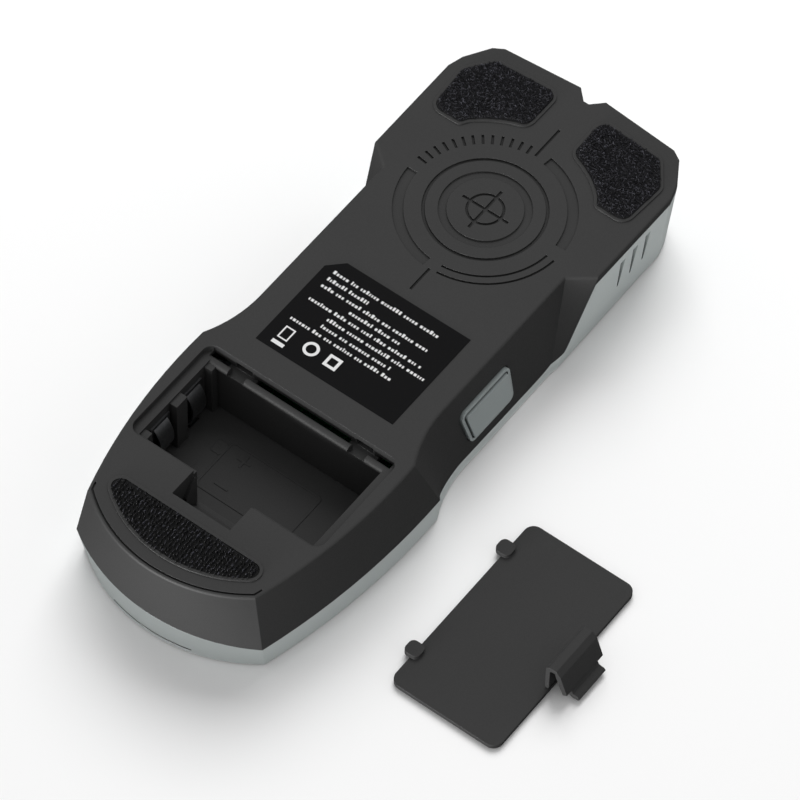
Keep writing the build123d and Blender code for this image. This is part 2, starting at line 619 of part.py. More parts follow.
def make_front_shell(outer, cavity):
    """Light grey front half: a tray whose head walls rise almost to the back face."""
    shell = (outer & below_parting(SHELL_GAP)) - cavity
    for x, y in CASE_SCREWS_AT:
        shell += rod(x, y, FRONT_WALL - 0.5, CASE_SPLIT_Z - SHELL_GAP, CASE_SCREW_SHANK + BOSS_WALL)
    for x, y in MAIN_SCREWS_AT:
        shell += rod(x, y, FRONT_WALL - 0.5, MAIN_BOARD_Z, BOARD_SCREW_SHANK + BOSS_WALL)
    for x in (-18.0, 0.0, 18.0):
        shell += block(x - 0.7, x + 0.7, BAY_Y0 + 3, BAY_Y1 - 3, FRONT_WALL - 0.5, FRONT_WALL + 1.4)
    for x, y in CASE_SCREWS_AT:
        tip = CASE_HEAD_LOW_Z - CASE_SCREW_LENGTH
        shell -= rod(x, y, tip - 0.6, CASE_SPLIT_Z, CASE_SCREW_SHANK + THREAD_FIT)
    for x, y in MAIN_SCREWS_AT:
        shell -= rod(x, y, MAIN_SCREW_TIP_Z - 0.4, MAIN_BOARD_Z + 1, BOARD_SCREW_SHANK + THREAD_FIT)
    half = WINDOW_WIDTH / 2
    shell -= upright(rounded_rect(-half - FIT, half + FIT, WINDOW_Y0 - FIT, WINDOW_Y1 + FIT, 3.0 + FIT),
                     -1, WINDOW_THICKNESS)
    shell -= upright(rounded_rect(-half + WINDOW_LEDGE, half - WINDOW_LEDGE, WINDOW_Y0 + WINDOW_LEDGE,
                                  WINDOW_Y1 - WINDOW_LEDGE, 1.5), -1, FRONT_WALL + 1)
    for y in KEYS_AT_Y:
        shell -= rod(0, y, -1, FRONT_WALL + 1, KEY_RADIUS + KEY_GAP)
        shell -= Pos(0, y, 0) * Cone(KEY_RADIUS + 1.4, KEY_RADIUS + KEY_GAP, 1.2)
    shell -= both_sides(grip_slits())
    shell -= edge_groove(-1.0, 1.0, 1.5, 2.1, 12.0)
    return shell


def grip_slits():
    """Tapered slits in the +X side wall of the head, wide at the back."""
    slope = (FRONT_WIDTH / 2 + 0.3 - (HEAD_WIDTH / 2 - 0.2)) / HEIGHT
    face_x = HEAD_WIDTH / 2 - 0.2
    low_x = face_x + slope * HEIGHT
    slab = along_y([(low_x - SLIT_DEPTH, 0), (low_x + 9, 0), (face_x + 9, HEIGHT),
                    (face_x - SLIT_DEPTH, HEIGHT)],
                   STEP_Y, HEAD_END_Y)
    wide = SLIT_WIDE / 2
    narrow = SLIT_NARROW / 2
    slits = None
    for i in range(SLIT_COUNT):
        y = STEP_Y + 11.6 + i * SLIT_PITCH
        prism = across([(y - wide, SLIT_TOP_Z), (y + wide, SLIT_TOP_Z), (y + narrow, SLIT_LOW_Z),
                        (y - narrow, SLIT_LOW_Z)], 0, HEAD_WIDTH)
        slits = prism if slits is None else slits + prism
    return slits & slab


# ---------------------------------------------------------------- pieces on the outside
def make_label():
    """Rating label with one cut corner."""
    half = 21.0
    y0, y1 = SHOULDER_Y + 6.4, SHOULDER_Y + 38.1
    cut = 4.0
    corners = [(-half, y0), (half, y0), (half, y1), (-half + cut, y1), (-half, y1 - cut)]
    return upright(make_face(Polyline(*corners, close=True)), HEIGHT, HEIGHT + LABEL_THICKNESS)


def make_pad(face):
    return upright(face, HEIGHT - PAD_SINK, PAD_TOP_Z)


def make_window():
    half = WINDOW_WIDTH / 2
    return upright(rounded_rect(-half, half, WINDOW_Y0, WINDOW_Y1, 3.0), 0, WINDOW_THICKNESS)


def make_key(y):
    cap = rod(0, y, KEY_SINK, FRONT_WALL + 0.3, KEY_RADIUS)
    cap = fillet(cap.faces().sort_by(Axis.Z)[0].edges(), 0.5)
    dish = Pos(0, y, KEY_SINK - 29.4) * Sphere(30.0)
    flange = rod(0, y, FRONT_WALL + 0.05, FRONT_WALL + 0.05 + KEY_FLANGE, KEY_RADIUS + 1.2)
    plunger = rod(0, y, FRONT_WALL + KEY_FLANGE, FRONT_WALL + KEY_FLANGE + 0.9, 2.0)
    return cap - dish + flange + plunger


# ---------------------------------------------------------------- pieces on the inside
SENSOR_SCREW_TIP_Z = SENSOR_BOARD_TOP_Z + 2.6
MAIN_SCREW_TIP_Z = MAIN_BOARD_Z - 3.4
LCD_LOW_Z = FRONT_WALL + FIT
LCD_TOP_Z = LCD_LOW_Z + LCD_THICKNESS
LCD_HALF_X = WINDOW_WIDTH / 2 - LCD_MARGIN
LCD_Y0 = WINDOW_Y0 + LCD_MARGIN
LCD_Y1 = WINDOW_Y1 - LCD_MARGIN
STRIP_WIDTH = 2.0


def make_lcd_panel():
    return block(-LCD_HALF_X, LCD_HALF_X, LCD_Y0, LCD_Y1, LCD_LOW_Z, LCD_TOP_Z)


def make_backlight():
    gap = STRIP_WIDTH + 0.6
    return block(-LCD_HALF_X + 0.5, LCD_HALF_X - 0.5, LCD_Y0 + gap, LCD_Y1 - gap, LCD_TOP_Z + FIT,
                 LCD_TOP_Z + FIT + BACKLIGHT_THICKNESS)


def make_elastomer_strips():
    strips = [block(-15, 15, y, y + STRIP_WIDTH, LCD_TOP_Z, MAIN_BOARD_Z)
              for y in (LCD_Y0 + 0.3, LCD_Y1 - 0.3 - STRIP_WIDTH)]
    return Compound(children=strips)


def make_lcd_frame():
    outer = block(-LCD_HALF_X - FIT - LCD_FRAME_WALL, LCD_HALF_X + FIT + LCD_FRAME_WALL,
                  LCD_Y0 - FIT - LCD_FRAME_WALL, LCD_Y1 + FIT + LCD_FRAME_WALL, LCD_LOW_Z, MAIN_BOARD_Z)
    inner = block(-LCD_HALF_X - FIT, LCD_HALF_X + FIT, LCD_Y0 - FIT, LCD_Y1 + FIT, 0, HEIGHT)
    return outer - inner


def make_main_board():
    half = MAIN_BOARD_WIDTH / 2
    board = upright(rounded_rect(-half, half, MAIN_BOARD_Y0, MAIN_BOARD_Y1, 1.5),
                    MAIN_BOARD_Z, MAIN_BOARD_TOP_Z)
    for x, y in MAIN_SCREWS_AT:
        board -= rod(x, y, 0, HEIGHT, BOARD_SCREW_SHANK + 0.15)
    return board


def make_sensor_board():
    half = SENSOR_BOARD_WIDTH / 2
    board = upright(rounded_rect(-half, half, STEP_Y - 22.0, 28.0, 1.5), SENSOR_BOARD_Z, SENSOR_BOARD_TOP_Z)
    for x, y in SENSOR_SCREWS_AT:
        board -= rod(x, y, 0, HEIGHT, BOARD_SCREW_SHANK + 0.15)
    return board


def make_sensor_coil():
    return upright(ring(14.5, 12.0), SENSOR_BOARD_Z - 2.2, SENSOR_BOARD_Z)


def make_board_header():
    return block(-7.6, 7.6, STEP_Y - 18.6, STEP_Y - 16.0, MAIN_BOARD_TOP_Z, SENSOR_BOARD_Z)


def make_main_chips():
    top = MAIN_BOARD_TOP_Z
    chips = [block(-6, 6, -6, 6, top, top + 1.6), block(-16, -9, -33, -26, top, top + 1.2),
             block(6, 14, -32, -26, top, top + 1.4)]
    return Compound(children=chips)


def make_board_components():
    top = MAIN_BOARD_TOP_Z
    pieces = [rod(-16, SHOULDER_Y + 21, top, top + 8.0, 3.1), rod(-8.5, SHOULDER_Y + 21, top, top + 8.0, 3.1)]
    for i in range(6):
        pieces.append(block(-14.0 + 4.2 * i, -12.0 + 4.2 * i, 14.0, 15.2, top, top + 0.6))
        pieces.append(block(-14.0 + 4.2 * i, -12.0 + 4.2 * i, -40.0, -38.8, top, top + 0.6))
    pieces.append(block(-19, -13, 4, 9, top, top + 2.8))
    return Compound(children=pieces)


def make_buzzer():
    x, y = 11.0, SHOULDER_Y + 17.0
    can = rod(x, y, MAIN_BOARD_TOP_Z, MAIN_BOARD_TOP_Z + 5.0, 6.0)
    return can - rod(x, y, MAIN_BOARD_TOP_Z + 4.0, MAIN_BOARD_TOP_Z + 6.0, 1.0)


def make_side_switch():
    y = STEP_Y - BUTTON_TO_STEP - BUTTON_TOP / 2
    z = BUTTON_LOW_Z + BUTTON_HEIGHT / 2
    post_end = waist_wall_x(z) - WALL - BUTTON_FLANGE - 1.4
    body = block(post_end - 7.5, post_end - 2.6, y - 3.3, y + 3.3, MAIN_BOARD_TOP_Z, z + 3.2)
    plunger = rod_x(post_end - 2.6, post_end - BUTTON_TRAVEL - 0.2, y, z, 1.6)
    return body + plunger


def make_keypad():
    """Silicone sheet with one dome behind each key."""
    first, last = KEYS_AT_Y
    sheet = block(-8, 8, last - 8, first + 8, MAIN_BOARD_Z - 1.0, MAIN_BOARD_Z)
    dome_low = FRONT_WALL + KEY_FLANGE + 0.9 + KEY_TRAVEL + FIT
    for y in KEYS_AT_Y:
        height = MAIN_BOARD_Z - 1.0 - dome_low
        sheet += Pos(0, y, dome_low + height / 2) * Cone(2.6, 5.0, height)
    return sheet


def make_contact(y, bow):
    """Spring strip: a plate on the end wall, a tail through the floor and a bowed leaf."""
    x = -BAY_X
    low = BAY_FLOOR_Z + 1.2
    high = BAY_FLOOR_Z + 15.0
    middle = (low + high) / 2
    plate = block(x, x + CONTACT_PLATE, y - CONTACT_HALF, y + CONTACT_HALF, low, high)
    tail = block(x, x + CONTACT_PLATE, y - 1.5, y + 1.5, CONTACT_TAIL_Z, low + 1)
    face_x = x + CONTACT_PLATE - 0.1
    outside = ThreePointArc((face_x, low + 1), (face_x + bow, middle), (face_x, high - 1))
    inside = ThreePointArc((face_x, high - 1 - CONTACT_PLATE), (face_x + bow - CONTACT_PLATE, middle),
                           (face_x, low + 1 + CONTACT_PLATE))
    ends = [Line(outside @ 1, inside @ 0), Line(inside @ 1, outside @ 0)]
    leaf_face = Plane.XZ * make_face(Curve() + [outside, ends[0], inside, ends[1]])
    leaf = Pos(0, y + CONTACT_HALF - 1, 0) * extrude(leaf_face, 2 * CONTACT_HALF - 2)
    return plate + tail + leaf


def make_battery_leads():
    """Two insulated leads from the contact tails, under the bay floor, to the main board."""
    leads = []
    z = CONTACT_TAIL_Z + WIRE_RADIUS
    end_y = MAIN_BOARD_Y0 + 4.0
    for y, lane, bend in ((CONTACTS_AT_Y[0], -13.0, 4.0), (CONTACTS_AT_Y[1], -9.0, 5.0)):
        start = (-BAY_X + CONTACT_PLATE, y, z)
        route = [start, (lane, y, z), (lane, end_y, z), (lane, end_y, MAIN_BOARD_Z)]
        path = FilletPolyline(*route, radius=(bend, 0.85))
        section = Plane(origin=start, z_dir=(1, 0, 0)) * Circle(WIRE_RADIUS)
        leads.append(sweep(section, path=path))
    return Compound(children=leads)


def make_case_screws():
    screws = []
    for x, y in CASE_SCREWS_AT:
        shank = rod(x, y, CASE_HEAD_LOW_Z - CASE_SCREW_LENGTH, CASE_HEAD_LOW_Z + 0.5, CASE_SCREW_SHANK)
        head = rod(x, y, CASE_HEAD_LOW_Z, CASE_HEAD_LOW_Z + CASE_HEAD_HEIGHT, CASE_SCREW_HEAD)
        top = CASE_HEAD_LOW_Z + CASE_HEAD_HEIGHT
        cross = block(x - 1.6, x + 1.6, y - 0.4, y + 0.4, top - 1, top + 1)
        cross += block(x - 0.4, x + 0.4, y - 1.6, y + 1.6, top - 1, top + 1)
        screws.append(shank + head - cross)
    return Compound(children=screws)


def make_board_screws(places, seat_z, tip_z):
    """Screws whose heads sit on a board at seat_z; the tip may point either way."""
    away = 1 if seat_z > tip_z else -1
    screws = []
    for x, y in places:
        shank_ends = sorted((seat_z + away * 0.3, tip_z))
        head_ends = sorted((seat_z, seat_z + away * BOARD_HEAD_HEIGHT))
        shank = rod(x, y, *shank_ends, BOARD_SCREW_SHANK)
        screws.append(shank + rod(x, y, *head_ends, BOARD_SCREW_HEAD))
    return Compound(children=screws)


# ---------------------------------------------------------------- battery cover, lying beside the tool
COVER_X0 = 54.85
COVER_Y = BAY_MID_Y + 8.3
COVER_X1 = COVER_X0 + COVER_WIDTH
LATCH_PIVOT_X = COVER_X1 - LATCH_THICKNESS / 2 - 0.1
LATCH_PIVOT_Z = COVER_THICKNESS + LATCH_THICKNESS / 2 + LATCH_GAP


def make_battery_cover():
    """Plate with its inner side up, the two hooks towards the tool."""
    half = COVER_LENGTH / 2
    sketch = rounded_rect(COVER_X0, COVER_X1, COVER_Y - half, COVER_Y + half, COVER_CORNER - COVER_GAP)
    plate = upright(sketch, 0, COVER_THICKNESS)
    plate = fillet(plate.faces().sort_by(Axis.Z)[0].edges(), EDGE_ROUND)
    for side in (-1, 1):
        y = COVER_Y + side * TAB_PITCH / 2
        hook = rounded_rect(COVER_X0 - TAB_REACH, COVER_X0 + 2.0,
                            y - TAB_WIDTH / 2, y + TAB_WIDTH / 2, TAB_CORNER)
        plate += upright(hook, COVER_THICKNESS - 0.4, COVER_THICKNESS - 0.4 + TAB_THICKNESS)
        root = block(COVER_X0 + 0.2, COVER_X0 + 1.6, y - TAB_WIDTH / 2, y + TAB_WIDTH / 2,
                     0.8, COVER_THICKNESS)
        plate += root
    return plate


def latch_profile():
    """Inverted U, as one (x, z) outline: a leg on the plate, a flat top and a leaning spring leg."""
    t = LATCH_THICKNESS
    inner = LATCH_PIVOT_X - t / 2
    outer = LATCH_PIVOT_X + t / 2
    top = LATCH_HEIGHT
    knee = inner + 4.4
    catch = COVER_X1 + 5.2
    return [
        (inner, LATCH_PIVOT_Z), (inner, top - 1.0), (inner + 0.9, top - 0.1), (inner + 3.0, top),
        (knee, top - 1.5), (catch, 3.6), (catch - t, 2.9), (knee - t - 0.2, top - 2.4),
        (inner + 2.7, top - t), (outer + 0.4, top - t - 0.1), (outer, top - t - 0.7), (outer, LATCH_PIVOT_Z),
    ]


def lip_profile():
    """Curved thumb lip under the catch, as (x, z)."""
    t = LATCH_THICKNESS
    catch = COVER_X1 + 5.2
    tip = COVER_X1 + LATCH_REACH
    return [
        (catch - t + 0.1, 4.2), (catch - 0.2, 3.4), (catch + 0.5, 2.3), (tip - 0.6, 2.2), (tip, 1.6),
        (tip - 0.4, 1.0), (catch + 0.5, 0.8), (catch - 0.6, 1.3), (catch - t - 0.1, 3.0),
    ]


def make_cover_latch():
    body = along_y(latch_profile(), COVER_Y - LATCH_WIDTH / 2, COVER_Y + LATCH_WIDTH / 2)
    lip = along_y(lip_profile(), COVER_Y - LIP_WIDTH / 2, COVER_Y + LIP_WIDTH / 2)
    foot = Rot(90, 0, 0) * Cylinder(LATCH_THICKNESS / 2, LATCH_WIDTH)
    return body + lip + Pos(LATCH_PIVOT_X, COVER_Y, LATCH_PIVOT_Z) * foot


# ---------------------------------------------------------------- build and write every piece
def build_parts():
    outer = outer_block()
    cavity = cavity_block()
    right_pad = make_pad(head_pad_outline(PAD_RIM))
    main_screws = make_board_screws(MAIN_SCREWS_AT, MAIN_BOARD_TOP_Z, MAIN_SCREW_TIP_Z)
    sensor_screws = make_board_screws(SENSOR_SCREWS_AT, SENSOR_BOARD_Z, SENSOR_SCREW_TIP_Z)
    return {
        "rear_shell": make_rear_shell(outer, cavity),
        "front_shell": make_front_shell(outer, cavity),
        "rating_label": make_label(),
        "head_pad_right": right_pad,
        "head_pad_left": mirror(right_pad, Plane.YZ),
        "base_pad": make_pad(base_pad_outline(PAD_RIM)),
        "display_window": make_window(),
        "lcd_panel": make_lcd_panel(),
        "backlight": make_backlight(),
        "elastomer_strips": make_elastomer_strips(),
        "lcd_frame": make_lcd_frame(),
        "main_board": make_main_board(),
        "main_chips": make_main_chips(),
        "board_components": make_board_components(),
        "buzzer": make_buzzer(),
        "side_switch": make_side_switch(),
        "keypad": make_keypad(),
        "mode_key": make_key(KEYS_AT_Y[0]),
        "power_key": make_key(KEYS_AT_Y[1]),
        "side_button": make_side_button(),
        "sensor_board": make_sensor_board(),
        "sensor_coil": make_sensor_coil(),
        "board_header": make_board_header(),
        "contact_positive": make_contact(CONTACTS_AT_Y[0], CONTACT_BOW),
        "contact_negative": make_contact(CONTACTS_AT_Y[1], CONTACT_BOW),
        "battery_leads": make_battery_leads(),
        "case_screws": make_case_screws(),
        "main_board_screws": main_screws,
        "sensor_board_screws": sensor_screws,
        "battery_cover": make_battery_cover(),
        "cover_latch": make_cover_latch(),
    }


os.makedirs("parts", exist_ok=True)
for name, shape in build_parts().items():
    export_step(shape, f"parts/{name}.step")
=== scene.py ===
"""Wall scanner lying on its display face, battery bay open, its cover beside it.

The sections follow the tool as it is put together, from the grey front half to the loose cover.
Everything is in metres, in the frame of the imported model.
"""
import math
import random

import bmesh
import bpy
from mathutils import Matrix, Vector


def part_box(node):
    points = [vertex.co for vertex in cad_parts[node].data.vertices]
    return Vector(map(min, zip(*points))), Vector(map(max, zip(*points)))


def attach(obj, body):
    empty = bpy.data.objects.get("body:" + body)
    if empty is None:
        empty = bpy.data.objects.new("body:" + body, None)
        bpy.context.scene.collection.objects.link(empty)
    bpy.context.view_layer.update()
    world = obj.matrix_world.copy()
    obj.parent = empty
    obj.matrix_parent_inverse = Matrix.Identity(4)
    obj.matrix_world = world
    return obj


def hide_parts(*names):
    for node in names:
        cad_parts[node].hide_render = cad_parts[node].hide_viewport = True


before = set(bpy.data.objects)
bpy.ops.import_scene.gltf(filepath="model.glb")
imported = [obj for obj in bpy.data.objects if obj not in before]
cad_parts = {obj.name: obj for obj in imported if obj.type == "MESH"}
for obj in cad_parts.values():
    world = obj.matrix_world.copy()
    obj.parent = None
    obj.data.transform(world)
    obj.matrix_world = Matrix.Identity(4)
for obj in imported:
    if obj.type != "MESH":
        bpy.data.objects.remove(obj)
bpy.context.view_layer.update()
MM = 0.001          # a millimetre, in metres

# ------------------------------------------------------------------ viewpoint
# A long lens high over the tail end, on the side of the scan button. It takes in the tool's back and the
# loose cover, with some empty table all round.
VIEW_AZIMUTH = 35.74
VIEW_ELEVATION = 55.12
VIEW_ROLL = 1.64
VIEW_TARGET = Vector((0.006666, -0.043296, 0.0))
VIEW_DISTANCE = 1.493
LENS_MM = 270.0
SENSOR_MM = 36.0
FURTHEST_SEEN = 10.0

camera_data = bpy.data.cameras.new("camera")
camera_data.lens = LENS_MM
camera_data.sensor_width = SENSOR_MM
camera_data.clip_end = FURTHEST_SEEN
camera = bpy.data.objects.new("camera", camera_data)
azimuth = math.radians(VIEW_AZIMUTH)
elevation = math.radians(VIEW_ELEVATION)
towards_camera = Vector((math.sin(azimuth) * math.cos(elevation), -math.cos(azimuth) * math.cos(elevation),
                         math.sin(elevation)))
camera.location = VIEW_TARGET + towards_camera * VIEW_DISTANCE
camera.rotation_euler = (-towards_camera).to_track_quat("-Z", "Y").to_euler()
camera.rotation_euler.rotate_axis("Z", math.radians(VIEW_ROLL))
bpy.context.collection.objects.link(camera)
bpy.context.scene.camera = camera


# ------------------------------------------------------------------ table and studio light
# A plain pale sheet of paper in a white room that dims towards the floor. A broad softbox behind the head
# lights it and a low strip beyond the tail gives only sheen. Neither the softbox nor the paper is mirrored.
def linear(hex_colour):
    """An sRGB hex colour as the linear RGBA that sockets take."""
    channels = [int(hex_colour[i:i + 2], 16) / 255 for i in (1, 3, 5)]
    return [c / 12.92 if c <= 0.04045 else ((c + 0.055) / 1.055) ** 2.4 for c in channels] + [1.0]


def add_node(tree, kind, inputs=None, **settings):
    """Add one node with its settings; an input takes a value, or a socket to link from."""
    node = tree.nodes.new(kind)
    for name, value in settings.items():
        setattr(node, name, value)
    for socket, source in (inputs or {}).items():
        if isinstance(source, bpy.types.NodeSocket):
            tree.links.new(source, node.inputs[socket])
        else:
            node.inputs[socket].default_value = source
    return node


def new_material(name):
    """An empty material, with its node tree and its principled shader."""
    material = bpy.data.materials.new(name)
    material.use_nodes = True
    return material, material.node_tree, material.node_tree.nodes["Principled BSDF"]


def link_object(name, mesh):
    """Put a new object in the scene, at the origin."""
    thing = bpy.data.objects.new(name, mesh)
    bpy.context.collection.objects.link(thing)
    return thing


# Studio paper: rolled, uncoated and almost white, so it spreads light evenly and has next to no shine.
FLOOR_REACH = 3.0
PAPER_ROUGHNESS = 0.9
PAPER_SHINE = 0.1
paper, paper_tree, paper_shader = new_material("studio paper")
paper_shader.inputs["Base Color"].default_value = linear("#f4f4f4")
paper_shader.inputs["Roughness"].default_value = PAPER_ROUGHNESS
paper_shader.inputs["Specular IOR Level"].default_value = PAPER_SHINE
floor_mesh = bpy.data.meshes.new("floor")
floor_mesh.from_pydata([(-FLOOR_REACH, -FLOOR_REACH, 0), (FLOOR_REACH, -FLOOR_REACH, 0),
                        (FLOOR_REACH, FLOOR_REACH, 0), (-FLOOR_REACH, FLOOR_REACH, 0)], [], [(0, 1, 2, 3)])
floor_mesh.materials.append(paper)
floor = link_object("floor", floor_mesh)
floor.visible_glossy = False

LIT_POINT = Vector((0, -0.05, 0))   # the middle of the object, on the table


def softbox(name, place, size, energy):
    """A square area light that faces the middle of the object."""
    data = bpy.data.lights.new(name, "AREA")
    data.energy = energy
    data.size = size
    light = link_object(name, data)
    light.location = place
    light.rotation_euler = (LIT_POINT - Vector(place)).to_track_quat("-Z", "Y").to_euler()
    return light


BACK_LIGHT_PLACE = (-0.6, 1.0, 1.6)
BACK_LIGHT_SIZE = 1.4
BACK_LIGHT_WATTS = 33.0
TAIL_LIGHT_PLACE = (-0.12, -1.4, 0.13)
TAIL_LIGHT_WIDTH = 0.7
TAIL_LIGHT_HEIGHT = 0.22
TAIL_LIGHT_WATTS = 50.0
back_light = softbox("back softbox", BACK_LIGHT_PLACE, BACK_LIGHT_SIZE, BACK_LIGHT_WATTS)
back_light.visible_glossy = False
tail_light = softbox("tail strip light", TAIL_LIGHT_PLACE, TAIL_LIGHT_WIDTH, TAIL_LIGHT_WATTS)
tail_light.data.shape = "RECTANGLE"
tail_light.data.size_y = TAIL_LIGHT_HEIGHT
tail_light.visible_diffuse = False

# The room's walls fade between these heights of the view line, from the floor's strength to the ceiling's.
ROOM_FADE_LOW, ROOM_FADE_HIGH = -0.1, 0.35
ROOM_FLOOR_STRENGTH, ROOM_CEILING_STRENGTH = 0.05, 0.54
room = bpy.data.worlds.new("white room")
room.use_nodes = True
room_tree = room.node_tree
room_tree.nodes["Background"].inputs["Color"].default_value = linear("#ffffff")
room_up = add_node(room_tree, "ShaderNodeSeparateXYZ",
                   {"Vector": add_node(room_tree, "ShaderNodeTexCoord").outputs["Generated"]})
room_fade = add_node(room_tree, "ShaderNodeMapRange",
                     {"Value": room_up.outputs["Z"], "From Min": ROOM_FADE_LOW, "From Max": ROOM_FADE_HIGH,
                      "To Min": ROOM_FLOOR_STRENGTH, "To Max": ROOM_CEILING_STRENGTH},
                     interpolation_type="SMOOTHSTEP")
room_tree.links.new(room_fade.outputs["Result"], room_tree.nodes["Background"].inputs["Strength"])
bpy.context.scene.world = room
bpy.context.scene.view_settings.view_transform = "Standard"


# ------------------------------------------------------------------ front half
# Light grey ABS tray, injection moulded and lightly spark-eroded in the tool, so it has a satin skin
# with a grain under half a millimetre, and edges painted paler: partly polish, partly painted highlight.
def dress(material, *names):
    """Give CAD nodes their finish, in every material slot that they have."""
    for name in names:
        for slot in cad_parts[name].material_slots:
            slot.material = material


CLOUD_SIZE = 22 * MM                # faint drifts of colour from the melt's flow
EDGE_RADIUS = 0.22 * MM             # the mould's unsharp corners
EDGE_FROM, EDGE_TO = 0.995, 0.86    # how alike the rounded and the flat normal are, off and on an edge
LIP_HIGHLIGHT_TOP, LIP_HIGHLIGHT_FULL = 0.9 * MM, 0.6 * MM      # the painted highlight on the lowest lip fades in between these heights
DOWN_FULL, DOWN_NONE = -0.95, -0.85         # the normal's height on a face that looks down, and on a side
PAINTED_SHADE_REACH = 1.6 * MM             # grooves and inner corners about this wide are darkened with painted shade
PAINTED_SHADE_FROM, PAINTED_SHADE_TO = 0.35, 0.8  # how open a hollow is where its painted shade is darkest, and where the painted shade ends
PAINTED_SHADE_DARKEST = 0.25
GRAIN_LOW, GRAIN_HIGH = 0.3, 0.7    # the noise's usual lowest and highest values
GRAIN_SPREAD = 0.06                 # how far the grain moves the roughness


def moulded_plastic(name, body, streak, edge, roughness, grain_mm, grain_height_mm, edge_wear_and_highlight, lip_highlight=None):
    """Moulded ABS: a fine eroded grain, a faint cloudy colour, paler edges that are partly polish and partly
    painted highlight, and painted shade in hollows.

    Real eroded grain is near 0.1 mm; it is drawn about three times as coarse, so that it shows. A lip
    colour, if given, is a painted highlight along the lowest band of the sides.
    """
    material, tree, shader = new_material(name)
    place = add_node(tree, "ShaderNodeTexCoord").outputs["Object"]
    cloud = add_node(tree, "ShaderNodeTexNoise", {"Vector": place, "Scale": 1 / CLOUD_SIZE, "Detail": 3.0})
    cloud_mix = add_node(tree, "ShaderNodeMix", {"Factor": cloud.outputs["Fac"], "A": linear(body),
                                                 "B": linear(streak)}, data_type="RGBA")
    grain = add_node(tree, "ShaderNodeTexNoise", {"Vector": place, "Scale": 1 / (grain_mm * MM),
                                                  "Detail": 2.0, "Roughness": 0.6})
    rounded = add_node(tree, "ShaderNodeBevel", {"Radius": EDGE_RADIUS}, samples=6)
    flat = add_node(tree, "ShaderNodeNewGeometry")
    likeness = add_node(tree, "ShaderNodeVectorMath",
                        {0: rounded.outputs["Normal"], 1: flat.outputs["Normal"]}, operation="DOT_PRODUCT")
    on_edge = add_node(tree, "ShaderNodeMapRange", {"Value": likeness.outputs["Value"], "From Min": EDGE_FROM,
                                                    "From Max": EDGE_TO, "To Min": 0.0, "To Max": edge_wear_and_highlight})
    # Paler edges: partly handling wear, partly a painted highlight along the rims.
    worn_and_highlit = add_node(tree, "ShaderNodeMath", {0: on_edge.outputs["Result"], 1: cloud.outputs["Fac"]},
                    operation="MULTIPLY")
    colour = add_node(tree, "ShaderNodeMix", {"Factor": worn_and_highlit.outputs["Value"],
                                              "A": cloud_mix.outputs["Result"], "B": linear(edge)},
                      data_type="RGBA")
    # Painted highlight: the lip colour brightens the lowest band of the sides, on faces that do not look
    # down.
    if lip_highlight is not None:
        height = add_node(tree, "ShaderNodeSeparateXYZ", {"Vector": place})
        low = add_node(tree, "ShaderNodeMapRange", {"Value": height.outputs["Z"], "From Min": LIP_HIGHLIGHT_TOP,
                                                    "From Max": LIP_HIGHLIGHT_FULL})
        facing = add_node(tree, "ShaderNodeSeparateXYZ", {"Vector": flat.outputs["Normal"]})
        sideways = add_node(tree, "ShaderNodeMapRange", {"Value": facing.outputs["Z"],
                                                         "From Min": DOWN_FULL, "From Max": DOWN_NONE})
        on_lip_highlight = add_node(tree, "ShaderNodeMath", {0: low.outputs["Result"], 1: sideways.outputs["Result"]},
                          operation="MULTIPLY")
        colour = add_node(tree, "ShaderNodeMix", {"Factor": on_lip_highlight.outputs["Value"],
                                                  "A": colour.outputs["Result"], "B": linear(lip_highlight)},
                          data_type="RGBA")
    # Painted shade: ambient occlusion darkens the base colour in grooves and inner corners.
    painted_cavity_shade = add_node(tree, "ShaderNodeAmbientOcclusion", {"Color": colour.outputs["Result"],
                                                           "Distance": PAINTED_SHADE_REACH}, samples=8)
    painted_cavity_depth = add_node(tree, "ShaderNodeMapRange",
                            {"Value": painted_cavity_shade.outputs["AO"], "From Min": PAINTED_SHADE_FROM, "From Max": PAINTED_SHADE_TO,
                             "To Min": PAINTED_SHADE_DARKEST, "To Max": 1.0})
    colour = add_node(tree, "ShaderNodeVectorMath", {0: colour.outputs["Result"],
                                                     "Scale": painted_cavity_depth.outputs["Result"]},
                      operation="SCALE")
    sheen_spread = add_node(tree, "ShaderNodeMapRange",
                            {"Value": grain.outputs["Fac"], "From Min": GRAIN_LOW, "From Max": GRAIN_HIGH,
                             "To Min": roughness - GRAIN_SPREAD, "To Max": roughness + GRAIN_SPREAD})
    bump = add_node(tree, "ShaderNodeBump", {"Height": grain.outputs["Fac"], "Strength": 1.0,
                                             "Distance": grain_height_mm * MM,
                                             "Normal": rounded.outputs["Normal"]})
    tree.links.new(colour.outputs["Vector"], shader.inputs["Base Color"])
    tree.links.new(sheen_spread.outputs["Result"], shader.inputs["Roughness"])
    tree.links.new(bump.outputs["Normal"], shader.inputs["Normal"])
    return material


# Satin grey ABS: a cool light grey with a soft broad highlight, and a thin pale line round its lowest lip
# that is a painted highlight.
satin_grey_abs = moulded_plastic("satin grey ABS", body="#bfc6c5", streak="#c5cccb", edge="#d9dedd",
                                 roughness=0.42, grain_mm=0.3, grain_height_mm=0.012, edge_wear_and_highlight=0.7,
                                 lip_highlight="#eef2f2")
dress(satin_grey_abs, "front_shell")


# ------------------------------------------------------------------ display window and its glass
# Clear cast acrylic pressed into the front face; behind it an unlit reflective LCD, its white light guide,
# the rubber connector strips and the ABS frame that holds them.
BAND_SCALE = 0.3        # puts the wave pattern's rings about one band apart
FINISH_SPREAD = 0.07    # how far the pattern moves the roughness


